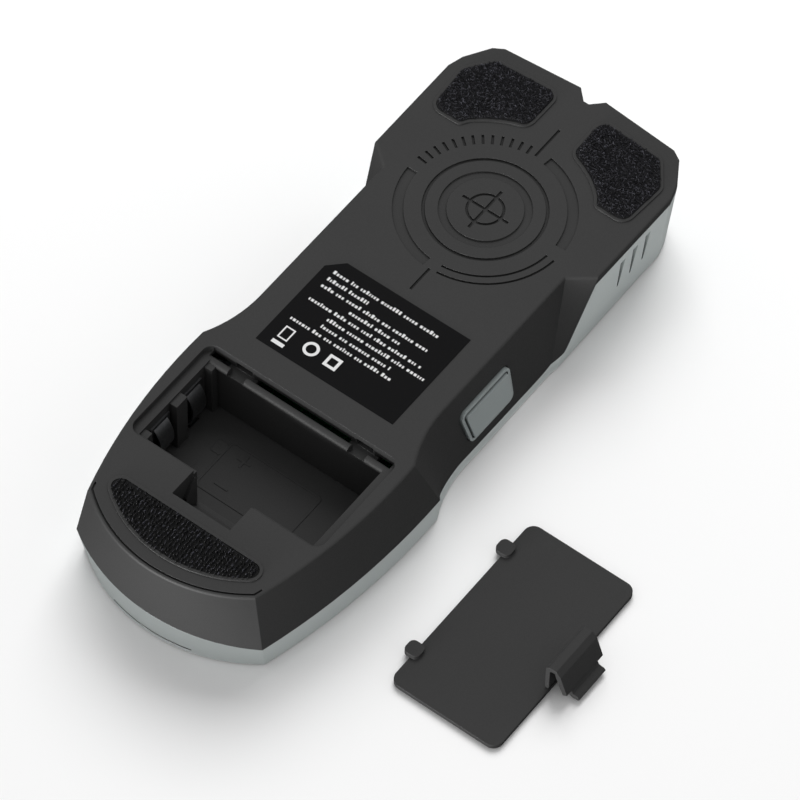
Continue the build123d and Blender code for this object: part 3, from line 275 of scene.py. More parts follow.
def plain_finish(name, colour, second, roughness, metallic, grain_mm, bump_mm, bands_mm=None, specular=0.5):
    """A finish for small pieces: a two-tone grain, or rings round the origin, with a matching bump."""
    material, tree, shader = new_material(name)
    place = add_node(tree, "ShaderNodeTexCoord").outputs["Object"]
    if bands_mm is None:
        pattern = add_node(tree, "ShaderNodeTexNoise", {"Vector": place, "Scale": 1 / (grain_mm * MM),
                                                        "Detail": 3.0})
    else:
        pattern = add_node(tree, "ShaderNodeTexWave", {"Vector": place, "Scale": BAND_SCALE / (bands_mm * MM),
                                                       "Distortion": 0.4}, wave_type="RINGS",
                           rings_direction="Z")
    level = pattern.outputs["Fac"]
    colours = add_node(tree, "ShaderNodeMix", {"Factor": level, "A": linear(colour),
                                               "B": linear(second)}, data_type="RGBA")
    spread = add_node(tree, "ShaderNodeMapRange", {"Value": level, "To Min": roughness - FINISH_SPREAD,
                                                   "To Max": roughness + FINISH_SPREAD})
    bump = add_node(tree, "ShaderNodeBump", {"Height": level, "Strength": 1.0, "Distance": bump_mm * MM})
    shader.inputs["Metallic"].default_value = metallic
    shader.inputs["Specular IOR Level"].default_value = specular
    tree.links.new(colours.outputs["Result"], shader.inputs["Base Color"])
    tree.links.new(spread.outputs["Result"], shader.inputs["Roughness"])
    tree.links.new(bump.outputs["Normal"], shader.inputs["Normal"])
    return material


# Clear cast acrylic: bright and glassy, with finger smudges that dull its mirror in patches.
ACRYLIC_IOR = 1.49
SMUDGE_SIZE = 9 * MM
SMUDGE_FROM, SMUDGE_TO = 0.45, 0.7
CLEAN_ROUGHNESS, SMUDGED_ROUGHNESS = 0.03, 0.14
acrylic, acrylic_tree, acrylic_shader = new_material("clear cast acrylic")
acrylic_place = add_node(acrylic_tree, "ShaderNodeTexCoord").outputs["Object"]
smudge = add_node(acrylic_tree, "ShaderNodeTexNoise", {"Vector": acrylic_place, "Scale": 1 / SMUDGE_SIZE,
                                                       "Detail": 4.0})
smudge_range = add_node(acrylic_tree, "ShaderNodeMapRange",
                        {"Value": smudge.outputs["Fac"], "From Min": SMUDGE_FROM, "From Max": SMUDGE_TO,
                         "To Min": CLEAN_ROUGHNESS, "To Max": SMUDGED_ROUGHNESS})
acrylic_tree.links.new(smudge_range.outputs["Result"], acrylic_shader.inputs["Roughness"])
acrylic_shader.inputs["Base Color"].default_value = linear("#eef3f2")
acrylic_shader.inputs["IOR"].default_value = ACRYLIC_IOR
acrylic_shader.inputs["Transmission Weight"].default_value = 1.0
dress(acrylic, "display_window")
# LCD polariser: a smooth grey-green film, fairly glossy, that looks dead while it is off.
lcd_film = plain_finish("LCD polariser", "#6b7466", "#737c6d", roughness=0.22, metallic=0.0, grain_mm=0.25,
                        bump_mm=0.002)
dress(lcd_film, "lcd_panel")
# Frosted light guide: milky acrylic sheet, evenly pale and matt.
light_guide = plain_finish("frosted light guide", "#e6e8e2", "#dfe2da", roughness=0.5, metallic=0.0,
                           grain_mm=0.5, bump_mm=0.01)
dress(light_guide, "backlight")
# Silicone rubber, loaded with carbon in layers: a dull mottled grey.
strip_rubber = plain_finish("zebra strip rubber", "#8e8f8c", "#3a3a39", roughness=0.7, metallic=0.0,
                            grain_mm=0.4, bump_mm=0.02)
dress(strip_rubber, "elastomer_strips", "keypad")
# White ABS: a warm off-white moulding with a faint satin skin.
white_abs = plain_finish("white ABS", "#dcdcd6", "#d4d4cd", roughness=0.45, metallic=0.0, grain_mm=0.4,
                         bump_mm=0.01)
dress(white_abs, "lcd_frame")
window_low, window_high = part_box("display_window")
lcd_low, lcd_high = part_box("lcd_panel")


def flat_bars(name, bars, z_low, z_high):
    """Thin upright blocks, given as (x0, x1, y0, y1), as one mesh."""
    points = []
    faces = []
    for x0, x1, y0, y1 in bars:
        first = len(points)
        points += [(x0, y0, z_low), (x1, y0, z_low), (x1, y1, z_low), (x0, y1, z_low),
                   (x0, y0, z_high), (x1, y0, z_high), (x1, y1, z_high), (x0, y1, z_high)]
        for corners in ((3, 2, 1, 0), (4, 5, 6, 7), (0, 1, 5, 4), (1, 2, 6, 5), (2, 3, 7, 6), (3, 0, 4, 7)):
            faces.append([first + c for c in corners])
    mesh = bpy.data.meshes.new(name)
    mesh.from_pydata(points, [], faces)
    return link_object(name, mesh)


# Printed black border behind the window's edge, which hides the frame.
BORDER_WIDTH = 2.6 * MM
BORDER_INSET = 0.3 * MM
BORDER_CORNER = 3 * MM      # the bars stop short of the window's round corners
BORDER_Z = (window_high.z - 0.12 * MM, window_high.z - 0.06 * MM)
left, right = window_low.x + BORDER_INSET, window_high.x - BORDER_INSET
lower, upper = window_low.y + BORDER_INSET, window_high.y - BORDER_INSET
border = flat_bars("window_border", [
    (left + BORDER_CORNER, right - BORDER_CORNER, lower, lower + BORDER_WIDTH),
    (left + BORDER_CORNER, right - BORDER_CORNER, upper - BORDER_WIDTH, upper),
    (left, left + BORDER_WIDTH, lower + BORDER_CORNER, upper - BORDER_CORNER),
    (right - BORDER_WIDTH, right, lower + BORDER_CORNER, upper - BORDER_CORNER)], *BORDER_Z)
# Screen-printed black ink: a thin, even, half-glossy coat seen through the acrylic.
border_ink = plain_finish("screen-printed black ink", "#101011", "#151516", roughness=0.35, metallic=0.0,
                          grain_mm=0.3, bump_mm=0.002)
border.data.materials.append(border_ink)
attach(border, "housing")

# Unlit liquid-crystal segments: a depth scale of seven bars and a level gauge, faint against the glass.
SEGMENT_Z = (lcd_low.z - 0.03 * MM, lcd_low.z - 0.005 * MM)
FIRST_SEGMENT_MM = 6                        # from the glass's lower edge
DEPTH_BARS = 7
DEPTH_BAR_MM, DEPTH_BAR_GROWTH_MM = 6, 2.4  # the shortest bar, and how much longer each next one is
DEPTH_BAR_PITCH_MM = 2.6
DEPTH_BAR_HEIGHT = 1.5 * MM
GAUGE_CELLS = 4
GAUGE_OFFSET_MM = 14.5
GAUGE_PITCH_MM = 4.4
GAUGE_HALF_WIDTH = 1.1 * MM
GAUGE_HEIGHT = 3.2 * MM
segments = []
lcd_middle_x = (lcd_low.x + lcd_high.x) / 2
for i in range(DEPTH_BARS):
    width = (DEPTH_BAR_MM + DEPTH_BAR_GROWTH_MM * i) * MM
    low_y = lcd_low.y + (FIRST_SEGMENT_MM + DEPTH_BAR_PITCH_MM * i) * MM
    segments.append((lcd_middle_x - width / 2, lcd_middle_x + width / 2, low_y, low_y + DEPTH_BAR_HEIGHT))
for side in (-1, 1):
    for i in range(GAUGE_CELLS):
        x = lcd_middle_x + side * GAUGE_OFFSET_MM * MM
        low_y = lcd_low.y + (FIRST_SEGMENT_MM + GAUGE_PITCH_MM * i) * MM
        segments.append((x - GAUGE_HALF_WIDTH, x + GAUGE_HALF_WIDTH, low_y, low_y + GAUGE_HEIGHT))
lcd_segments = flat_bars("lcd_segments", segments, *SEGMENT_Z)
# Liquid crystal segments: barely darker than the film round them while the display is off.
segment_ink = plain_finish("liquid crystal segments", "#4e564a", "#535b4f", roughness=0.25, metallic=0.0,
                           grain_mm=0.2, bump_mm=0.001)
lcd_segments.data.materials.append(segment_ink)
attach(lcd_segments, "housing")

# ------------------------------------------------------------------ front keys
# Two round ABS keys with a dark soft-touch coating, each pressed onto the keypad and printed with a white
# mark in its dish: a whole ring and an open one.

# Soft-touch coating: a rubbery lacquer with a dull, even, slightly hazy sheen.
key_skin = moulded_plastic("soft-touch key coating", body="#26282a", streak="#2b2d2f", edge="#4a4c4e",
                           roughness=0.62, grain_mm=0.25, grain_height_mm=0.012, edge_wear_and_highlight=0.4)
dress(key_skin, "mode_key", "power_key")
RING_STEPS = 48


def ring_mesh(name, centre, radius, width, z_low, z_high, start=0.0, end=360.0):
    """A flat ring or arc with a rectangular section, closed at its ends where it is open."""
    points = []
    faces = []
    whole = end - start >= 360.0
    count = RING_STEPS if whole else RING_STEPS + 1
    for i in range(count):
        angle = math.radians(start + (end - start) * i / RING_STEPS)
        for r, z in ((radius - width / 2, z_low), (radius + width / 2, z_low),
                     (radius + width / 2, z_high), (radius - width / 2, z_high)):
            points.append((centre[0] + r * math.cos(angle), centre[1] + r * math.sin(angle), z))
    for i in range(RING_STEPS):
        a = 4 * i
        b = 4 * ((i + 1) % count)
        for k in range(4):
            faces.append((a + k, b + k, b + (k + 1) % 4, a + (k + 1) % 4))
    if not whole:
        faces.append((0, 1, 2, 3))
        last = 4 * RING_STEPS
        faces.append((last + 3, last + 2, last + 1, last))
    mesh = bpy.data.meshes.new(name)
    mesh.from_pydata(points, [], [tuple(reversed(f)) for f in faces])
    return link_object(name, mesh)


# Pad-printed white ink: a thin matt coat, a little uneven.
key_ink = plain_finish("pad-printed white ink", "#d8dad8", "#cfd1cf", roughness=0.5, metallic=0.0,
                       grain_mm=0.2, bump_mm=0.002)
KEY_RING_RADIUS = 2.0 * MM
KEY_RING_LINE = 0.35 * MM
KEY_DISH_DEPTH = 0.55 * MM
KEY_INK_OUT, KEY_INK_IN = 0.25 * MM, 0.1 * MM
for key_name, ring_start, ring_end in (("mode_key", 0.0, 360.0), ("power_key", 30.0, 330.0)):
    key_low, key_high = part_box(key_name)
    centre = ((key_low.x + key_high.x) / 2, (key_low.y + key_high.y) / 2)
    dish_z = key_low.z + KEY_DISH_DEPTH
    mark = ring_mesh(key_name + "_mark", centre, KEY_RING_RADIUS, KEY_RING_LINE, dish_z - KEY_INK_OUT,
                     dish_z + KEY_INK_IN, ring_start, ring_end)
    mark.data.materials.append(key_ink)
    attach(mark, key_name)

# ------------------------------------------------------------------ circuit boards and what they carry
# Green glass-epoxy boards with tinned parts, a sensing coil of enamelled copper wire, black moulded
# packages and steel cans, held by zinc-plated screws; the battery leads are PVC-covered wire.

# Solder mask: a glossy green lacquer over the copper tracks, which show through as paler lines.
TRACK_GRID = 9 * MM
TRACK_LINE = 0.03           # as a share of the grid
TRACK_STEP = 0.03 * MM
MASK_ROUGHNESS = 0.35
board_mask, mask_tree, mask_shader = new_material("green solder mask")
mask_place = add_node(mask_tree, "ShaderNodeTexCoord").outputs["Object"]
tracks = add_node(mask_tree, "ShaderNodeTexBrick", {"Vector": mask_place, "Scale": 1 / TRACK_GRID,
                                                    "Mortar Size": TRACK_LINE, "Color1": linear("#14552c"),
                                                    "Color2": linear("#125028"), "Mortar": linear("#2c7a45")})
mask_bump = add_node(mask_tree, "ShaderNodeBump", {"Height": tracks.outputs["Fac"], "Strength": 1.0,
                                                   "Distance": TRACK_STEP})
mask_shader.inputs["Roughness"].default_value = MASK_ROUGHNESS
mask_tree.links.new(tracks.outputs["Color"], mask_shader.inputs["Base Color"])
mask_tree.links.new(mask_bump.outputs["Normal"], mask_shader.inputs["Normal"])
dress(board_mask, "main_board", "sensor_board")
# Moulded epoxy: near black, with a fine matt skin.
epoxy = plain_finish("moulded epoxy", "#17181a", "#1d1e20", roughness=0.5, metallic=0.0, grain_mm=0.12,
                     bump_mm=0.006)
dress(epoxy, "main_chips", "buzzer", "board_header")
# Tinned ends: a warm dull silver, patchy where the solder has flowed.
tinned = plain_finish("tinned component ends", "#b7b6ae", "#8f8d84", roughness=0.38, metallic=0.8,
                      grain_mm=0.5, bump_mm=0.01)
dress(tinned, "board_components")
# Stamped steel: a plain grey metal with a faint rolled mottle.
switch_steel = plain_finish("stamped switch steel", "#a9aaac", "#8f9193", roughness=0.34, metallic=1.0,
                            grain_mm=0.3, bump_mm=0.006)
dress(switch_steel, "side_switch")
# Enamelled copper wire, wound round in layers: warm and glossy, with one dark line between turns.
winding = plain_finish("enamelled copper winding", "#b4602c", "#8a431c", roughness=0.28, metallic=0.9,
                       grain_mm=0.3, bump_mm=0.05, bands_mm=0.28)
dress(winding, "sensor_coil")
# Red PVC: a soft, slightly waxy plastic.
red_pvc = plain_finish("red PVC insulation", "#8f1418", "#86100f", roughness=0.42, metallic=0.0, grain_mm=0.6,
                       bump_mm=0.01)
dress(red_pvc, "battery_leads")
# Zinc plating: a bright bluish grey with a soft spangle.
zinc = plain_finish("zinc-plated steel", "#b9bcc0", "#a3a7ab", roughness=0.36, metallic=1.0, grain_mm=0.4,
                    bump_mm=0.008)
dress(zinc, "case_screws", "main_board_screws", "sensor_board_screws")

# ------------------------------------------------------------------ rear half
# Black ABS moulding with the battery bay in one with it, spark-eroded to an even matt grain; handling
# has polished its outer edges a little, and their paler colour is partly painted highlight. It screws down
# onto the grey half.

# Eroded black ABS: a dark neutral grey that spreads the light, with edges only a shade paler, partly from
# wear and partly as painted highlight.
black_abs = moulded_plastic("eroded black ABS", body="#2b2b2b", streak="#2f2f2f", edge="#4c4c4c",
                            roughness=0.66, grain_mm=0.32, grain_height_mm=0.014, edge_wear_and_highlight=0.3)
dress(black_abs, "rear_shell")

# ------------------------------------------------------------------ battery contacts
# Two bowed strips of nickel-plated spring steel, pressed onto the bay's end wall.

# Nickel plating: a dark neutral metal, dulled in patches by finger marks.
spring_nickel = plain_finish("dull nickel plating", "#8a8b8d", "#5e5f61", roughness=0.4, metallic=1.0,
                             grain_mm=0.8, bump_mm=0.01)
dress(spring_nickel, "contact_positive", "contact_negative")

# ------------------------------------------------------------------ scan button
# Mid-grey ABS button in the waist wall, with a raised panel inside a rim and a fine groove; a spring
# switch on the board holds it out.

# Satin mid-grey ABS: the front half's skin in a darker, cool grey, paler along its rim.
button_grey = moulded_plastic("satin mid-grey ABS", body="#929a9a", streak="#989f9f", edge="#b2b8b8",
                              roughness=0.42, grain_mm=0.3, grain_height_mm=0.012, edge_wear_and_highlight=0.6)
dress(button_grey, "side_button")

# ------------------------------------------------------------------ rating label
# Black vinyl film with one cut corner, stuck to the back and screen-printed in white. The print is
# plain blocks in the rows and columns of such a label, with four plain marks under them.

# Matt vinyl: blacker and flatter than the shell round it, because it hardly shines.
label_vinyl = plain_finish("matt black vinyl", "#0a0a0b", "#0d0d0e", roughness=0.42, metallic=0.0,
                           grain_mm=0.25, bump_mm=0.004, specular=0.1)
dress(label_vinyl, "rating_label")
label_low, label_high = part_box("rating_label")
INK_Z = (label_high.z - 0.01 * MM, label_high.z + 0.02 * MM)
ROW_PITCH = 2.48 * MM
ROW_HEIGHT = 1.08 * MM
FIRST_ROW_Y = label_high.y - 3.6 * MM
LEFT_MARGIN = label_low.x + 3.0 * MM
STROKE_GAP = 0.34 * MM
WORD_GAP = 0.95 * MM
NARROWEST_MM, WIDEST_MM = 0.35, 0.75
FEWEST_BLOCKS, MOST_BLOCKS = 3, 8
BLOCK_HEIGHTS = (0.7, 0.7, 0.7, 1.0)        # as shares of the row's height, mostly the low ones
# Each row: how far it starts from the margin, and how long it is, in millimetres.
LABEL_ROWS = [(0.0, 32.5), (0.0, 13.0), (0.0, 33.5), (10.5, 16.5), (0.0, 34.5), (7.5, 30.0), (7.5, 21.5),
              (0.0, 32.0)]
print_random = random.Random(7)
blocks = []
for row, (indent, length) in enumerate(LABEL_ROWS):
    x = LEFT_MARGIN + indent * MM
    row_end = x + length * MM
    y_top = FIRST_ROW_Y - row * ROW_PITCH
    while x < row_end:
        for _ in range(print_random.randint(FEWEST_BLOCKS, MOST_BLOCKS)):
            width = print_random.uniform(NARROWEST_MM, WIDEST_MM) * MM
            tall = print_random.choice(BLOCK_HEIGHTS)
            if x + width > row_end:
                break
            y_low = y_top - ROW_HEIGHT
            blocks.append((x, x + width, y_low, y_low + tall * ROW_HEIGHT))
            x += width + STROKE_GAP
        x += WORD_GAP - STROKE_GAP
label_print = flat_bars("label_print", blocks, *INK_Z)
# Screen-printed white ink: a flat off-white coat that stands up a few hundredths of a millimetre.
label_ink = plain_finish("screen-printed white ink", "#dcdcdc", "#d2d2d2", roughness=0.5, metallic=0.0,
                         grain_mm=0.3, bump_mm=0.003)
label_print.data.materials.append(label_ink)
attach(label_print, "housing")

# Marks in a row: an upright box with a bar under it, a ring and a square frame.
MARK_Y = label_low.y + 5.6 * MM
BOX_X = LEFT_MARGIN + 2.2 * MM
BOX_HALF_WIDTH, BOX_HALF_HEIGHT = 1.5 * MM, 2.0 * MM
BAR_HALF_WIDTH = 1.8 * MM
BAR_DROP = (4.1 * MM, 3.0 * MM)
RING_X = BOX_X + 7.6 * MM
RING_RADIUS = 1.75 * MM
SQUARE_X = BOX_X + 14.2 * MM
SQUARE_HALF = 1.9 * MM
THIN_LINE = 0.4 * MM
THICK_LINE = 2 * THIN_LINE
frames = [(BOX_X - BAR_HALF_WIDTH, BOX_X + BAR_HALF_WIDTH, MARK_Y - BAR_DROP[0], MARK_Y - BAR_DROP[1])]
for centre_x, half, half_height, thick in ((BOX_X, BOX_HALF_WIDTH, BOX_HALF_HEIGHT, THIN_LINE),
                                           (SQUARE_X, SQUARE_HALF, SQUARE_HALF, THICK_LINE)):
    low_y, high_y = MARK_Y - half_height, MARK_Y + half_height
    frames += [(centre_x - half, centre_x + half, low_y, low_y + thick),
               (centre_x - half, centre_x + half, high_y - thick, high_y),
               (centre_x - half, centre_x - half + thick, low_y + thick, high_y - thick),
               (centre_x + half - thick, centre_x + half, low_y + thick, high_y - thick)]
label_marks = flat_bars("label_marks", frames, *INK_Z)
ring_mark = ring_mesh("label_ring", (RING_X, MARK_Y), RING_RADIUS, THICK_LINE, *INK_Z)
for mark in (label_marks, ring_mark):
    mark.data.materials.append(label_ink)
    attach(mark, "housing")


# ------------------------------------------------------------------ head pads
# Two patches of black nylon loop pile on a woven backing, glued into shallow beds so that the tool
# glides over paint. Thousands of small yarn loops stand close together, a few of them painted paler as
# painted glints.
FIBRE_SIZE = 0.15 * MM
FIBRE_DEPTH = 0.03 * MM
FIBRE_STRENGTH = 0.8
NYLON_SHINE = 0.25
FUZZ_ROUGHNESS = 0.4
WELD_GAP = 0.001 * MM


def yarn(name, dark, light, roughness, fuzz, rarity):
    """Nylon yarn: each strand has its own tone, mostly dark, the rare pale ones painted glints, with a faint
    fuzz along it.
    """
    material, tree, shader = new_material(name)
    tone_and_glint = add_node(tree, "ShaderNodeAttribute", attribute_name="yarn_tone_and_glint")
    place = add_node(tree, "ShaderNodeTexCoord").outputs["Object"]
    fibre = add_node(tree, "ShaderNodeTexNoise", {"Vector": place, "Scale": 1 / FIBRE_SIZE, "Detail": 2.0})
    # Painted glints: a few strands take the pale colour as painted highlights; the higher the power, the
    # fewer they are.
    sharper = add_node(tree, "ShaderNodeMath", {0: tone_and_glint.outputs["Fac"], 1: rarity}, operation="POWER")
    colours = add_node(tree, "ShaderNodeMix", {"Factor": sharper.outputs["Value"], "A": linear(dark),
                                               "B": linear(light)}, data_type="RGBA")
    bump = add_node(tree, "ShaderNodeBump", {"Height": fibre.outputs["Fac"], "Strength": FIBRE_STRENGTH,
                                             "Distance": FIBRE_DEPTH})
    shader.inputs["Roughness"].default_value = roughness
    shader.inputs["Sheen Weight"].default_value = fuzz
    shader.inputs["Specular IOR Level"].default_value = NYLON_SHINE
    shader.inputs["Sheen Roughness"].default_value = FUZZ_ROUGHNESS
    tree.links.new(colours.outputs["Result"], shader.inputs["Base Color"])
    tree.links.new(bump.outputs["Normal"], shader.inputs["Normal"])
    return material


def pad_backing(name, node, top_z):
    """A copy of the pad's CAD shape, welded, with its top lowered to the woven backing."""
    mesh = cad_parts[node].data.copy()
    mesh.materials.clear()
    piece = link_object(name, mesh)
    work = bmesh.new()
    work.from_mesh(mesh)
    bmesh.ops.remove_doubles(work, verts=work.verts, dist=WELD_GAP)
    for vertex in work.verts:
        vertex.co.z = min(vertex.co.z, top_z)
    work.to_mesh(mesh)
    work.free()
    return piece


def value_input(tree, name, kind, default):
    """Add a named input to a geometry tree and return its identifier."""
    socket = tree.interface.new_socket(name=name, in_out="INPUT", socket_type=kind)
    if default is not None:
        socket.default_value = default
    return socket.identifier


def finish_pile(tree, given, strands, coat, glint_seed):
    """Give each strand its own tone, which also picks the rare painted glints, join it to the backing, and
    end the tree as one coated mesh.
    """
    tone_and_glint = add_node(tree, "FunctionNodeRandomValue", {2: 0.0, 3: 1.0, "Seed": glint_seed}, data_type="FLOAT")
    toned_with_glints = add_node(tree, "GeometryNodeStoreNamedAttribute",
                     {"Geometry": strands.outputs["Instances"], "Name": "yarn_tone_and_glint",
                      "Value": tone_and_glint.outputs[1]}, data_type="FLOAT", domain="INSTANCE")
    joined = add_node(tree, "GeometryNodeJoinGeometry")
    tree.links.new(toned_with_glints.outputs["Geometry"], joined.inputs["Geometry"])
    tree.links.new(given.outputs["Geometry"], joined.inputs["Geometry"])
    real = add_node(tree, "GeometryNodeRealizeInstances", {"Geometry": joined.outputs["Geometry"]})
    coated = add_node(tree, "GeometryNodeSetMaterial", {"Geometry": real.outputs["Geometry"],
                                                        "Material": given.outputs[coat]})
    add_node(tree, "NodeGroupOutput", {"Geometry": coated.outputs["Geometry"]})


def run_tree(piece, tree, values):
    """Apply a geometry tree to a piece with values by socket identifier, and keep the result as its mesh."""
    modifier = piece.modifiers.new("pile", "NODES")
    modifier.node_group = tree
    for identifier, value in values.items():
        modifier[identifier] = value
    bpy.context.view_layer.update()
    evaluated = piece.evaluated_get(bpy.context.evaluated_depsgraph_get())
    result = bpy.data.meshes.new_from_object(evaluated)
    piece.modifiers.clear()
    old = piece.data
    piece.data = result
    bpy.data.meshes.remove(old)


LOOP_SPACING = 0.33 * MM
LOOP_WIDTH = 0.5 * MM
LOOP_YARN = 0.08 * MM               # thicker than real yarn, so that single loops show
LOOP_PILE_DEPTH = 0.7 * MM
LOOPS_PER_SQUARE_METRE = 4.0e7      # more than the spacing lets through
LOOP_POINTS, YARN_SIDES = 8, 3
LOOP_START, LOOP_SWEEP = -50, 280   # degrees: an open ring with its gap below
LOOP_LEAN = 0.75                    # radians either way
FULL_TURN = 6.283
LOOP_SMALLEST, LOOP_LARGEST = 0.7, 1.25
LOOP_GLINT_SEED = 11
FIRST_PAD_SEED = 3
TOP_FACING = 0.9

loop_tree = bpy.data.node_groups.new("loop pile", "GeometryNodeTree")
loop_tree.interface.new_socket(name="Geometry", in_out="INPUT", socket_type="NodeSocketGeometry")
spacing_input = value_input(loop_tree, "Spacing", "NodeSocketFloat", LOOP_SPACING)
width_input = value_input(loop_tree, "Loop Width", "NodeSocketFloat", LOOP_WIDTH)
yarn_input = value_input(loop_tree, "Yarn Radius", "NodeSocketFloat", LOOP_YARN)
loop_seed_input = value_input(loop_tree, "Seed", "NodeSocketInt", 1)
loop_coat_input = value_input(loop_tree, "Yarn", "NodeSocketMaterial", None)
loop_tree.interface.new_socket(name="Geometry", in_out="OUTPUT", socket_type="NodeSocketGeometry")
given = add_node(loop_tree, "NodeGroupInput")
normal = add_node(loop_tree, "GeometryNodeInputNormal")
upward = add_node(loop_tree, "ShaderNodeSeparateXYZ", {"Vector": normal.outputs["Normal"]})
on_top = add_node(loop_tree, "FunctionNodeCompare", {"A": upward.outputs["Z"], "B": TOP_FACING},
                  operation="GREATER_THAN")
scatter = add_node(loop_tree, "GeometryNodeDistributePointsOnFaces",
                   {"Mesh": given.outputs["Geometry"], "Selection": on_top.outputs["Result"],
                    "Distance Min": given.outputs["Spacing"], "Density Max": LOOPS_PER_SQUARE_METRE,
                    "Seed": given.outputs["Seed"]}, distribute_method="POISSON")
loop_radius = add_node(loop_tree, "ShaderNodeMath", {0: given.outputs["Loop Width"], 1: 0.5},
                       operation="MULTIPLY")
arc = add_node(loop_tree, "GeometryNodeCurveArc",
               {"Resolution": LOOP_POINTS, "Radius": loop_radius.outputs["Value"],
                "Start Angle": math.radians(LOOP_START), "Sweep Angle": math.radians(LOOP_SWEEP)})
section = add_node(loop_tree, "GeometryNodeCurvePrimitiveCircle", {"Resolution": YARN_SIDES,
                                                                   "Radius": given.outputs["Yarn Radius"]})
loop_mesh = add_node(loop_tree, "GeometryNodeCurveToMesh", {"Curve": arc.outputs["Curve"],
                                                            "Profile Curve": section.outputs["Curve"],
                                                            "Fill Caps": True})
lifted = add_node(loop_tree, "ShaderNodeCombineXYZ", {"Z": loop_radius.outputs["Value"]})
standing = add_node(loop_tree, "GeometryNodeTransform", {"Geometry": loop_mesh.outputs["Mesh"],
                                                         "Rotation": (math.radians(90), 0, 0),
                                                         "Translation": lifted.outputs["Vector"]})
turn = add_node(loop_tree, "FunctionNodeRandomValue",
                {"Min": (-LOOP_LEAN, -LOOP_LEAN, 0.0), "Max": (LOOP_LEAN, LOOP_LEAN, FULL_TURN),
                 "Seed": given.outputs["Seed"]}, data_type="FLOAT_VECTOR")
growth = add_node(loop_tree, "FunctionNodeRandomValue",
                  {2: LOOP_SMALLEST, 3: LOOP_LARGEST, "Seed": given.outputs["Seed"]}, data_type="FLOAT")
loops = add_node(loop_tree, "GeometryNodeInstanceOnPoints",
                 {"Points": scatter.outputs["Points"], "Instance": standing.outputs["Geometry"],
                  "Rotation": turn.outputs["Value"], "Scale": growth.outputs[1]})
finish_pile(loop_tree, given, loops, "Yarn", LOOP_GLINT_SEED)

# Loop pile: charcoal, soft and uneven, with a paler loop here and there as a painted glint.
loop_nylon = yarn("black nylon loop pile", "#131316", "#5e5e66", roughness=0.6, fuzz=0.04, rarity=3.5)
for number, node in enumerate(("head_pad_right", "head_pad_left")):
    pad_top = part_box(node)[1].z
    pad = pad_backing(node + "_pile", node, pad_top - LOOP_PILE_DEPTH)
    run_tree(pad, loop_tree, {spacing_input: LOOP_SPACING, width_input: LOOP_WIDTH, yarn_input: LOOP_YARN,
                              loop_seed_input: number + FIRST_PAD_SEED, loop_coat_input: loop_nylon})
    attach(pad, "housing")
    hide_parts(node)

# ------------------------------------------------------------------ base pad
# Black nylon hook pile: rows of stiff bent monofilament hooks along the tool on a ribbed backing,
# the mate of the loop pile and a non-slip foot for the tail.
HOOK_ROW_PITCH = 1.0 * MM
HOOK_PITCH = 0.62 * MM
HOOK_HEIGHT = 0.8 * MM
FILAMENT_RADIUS = 0.12 * MM         # thicker than the real filament, so that single hooks show
HOOK_PILE_DEPTH = 1.0 * MM
HOOK_SEED = 2
HOOK_GLINT_SEED = 5
STRAY_X, STRAY_Y = 0.0001, 0.00022  # how far a hook stands off its row, in metres
PROBE_HEIGHT = 0.01
CROOK_SHARE, STALK_SHARE = 0.36, 0.62
CROOK_SWEEP = 205                   # degrees
CROOK_POINTS, FILAMENT_SIDES = 7, 5
ROOT_DEPTH = 0.0001
HOOK_LEAN_X, HOOK_LEAN_Y = 0.18, 0.25
HOOK_TURN_LEAST, HOOK_TURN_MOST = 1.2, 1.95
HOOK_SMALLEST, HOOK_LARGEST = 0.85, 1.12

hook_tree = bpy.data.node_groups.new("hook pile", "GeometryNodeTree")
hook_tree.interface.new_socket(name="Geometry", in_out="INPUT", socket_type="NodeSocketGeometry")
row_input = value_input(hook_tree, "Row Pitch", "NodeSocketFloat", HOOK_ROW_PITCH)
pitch_input = value_input(hook_tree, "Hook Pitch", "NodeSocketFloat", HOOK_PITCH)
height_input = value_input(hook_tree, "Hook Height", "NodeSocketFloat", HOOK_HEIGHT)
filament_input = value_input(hook_tree, "Filament Radius", "NodeSocketFloat", FILAMENT_RADIUS)
hook_seed_input = value_input(hook_tree, "Seed", "NodeSocketInt", 1)
hook_coat_input = value_input(hook_tree, "Filament", "NodeSocketMaterial", None)
hook_tree.interface.new_socket(name="Geometry", in_out="OUTPUT", socket_type="NodeSocketGeometry")
given = add_node(hook_tree, "NodeGroupInput")
bounds = add_node(hook_tree, "GeometryNodeBoundBox", {"Geometry": given.outputs["Geometry"]})
span = add_node(hook_tree, "ShaderNodeVectorMath", {0: bounds.outputs["Max"], 1: bounds.outputs["Min"]},
                operation="SUBTRACT")
middle_sum = add_node(hook_tree, "ShaderNodeVectorMath", {0: bounds.outputs["Max"], 1: bounds.outputs["Min"]},
                      operation="ADD")
middle = add_node(hook_tree, "ShaderNodeVectorMath", {0: middle_sum.outputs["Vector"], "Scale": 0.5},
                  operation="SCALE")
span_parts = add_node(hook_tree, "ShaderNodeSeparateXYZ", {"Vector": span.outputs["Vector"]})
middle_parts = add_node(hook_tree, "ShaderNodeSeparateXYZ", {"Vector": middle.outputs["Vector"]})
top_parts = add_node(hook_tree, "ShaderNodeSeparateXYZ", {"Vector": bounds.outputs["Max"]})
rows = add_node(hook_tree, "ShaderNodeMath", {0: span_parts.outputs["X"], 1: given.outputs["Row Pitch"]},
                operation="DIVIDE")
columns = add_node(hook_tree, "ShaderNodeMath", {0: span_parts.outputs["Y"], 1: given.outputs["Hook Pitch"]},
                   operation="DIVIDE")
bed = add_node(hook_tree, "GeometryNodeMeshGrid", {"Size X": span_parts.outputs["X"],
                                                   "Size Y": span_parts.outputs["Y"],
                                                   "Vertices X": rows.outputs["Value"],
                                                   "Vertices Y": columns.outputs["Value"]})
bed_place = add_node(hook_tree, "ShaderNodeCombineXYZ", {"X": middle_parts.outputs["X"],
                                                         "Y": middle_parts.outputs["Y"],
                                                         "Z": top_parts.outputs["Z"]})
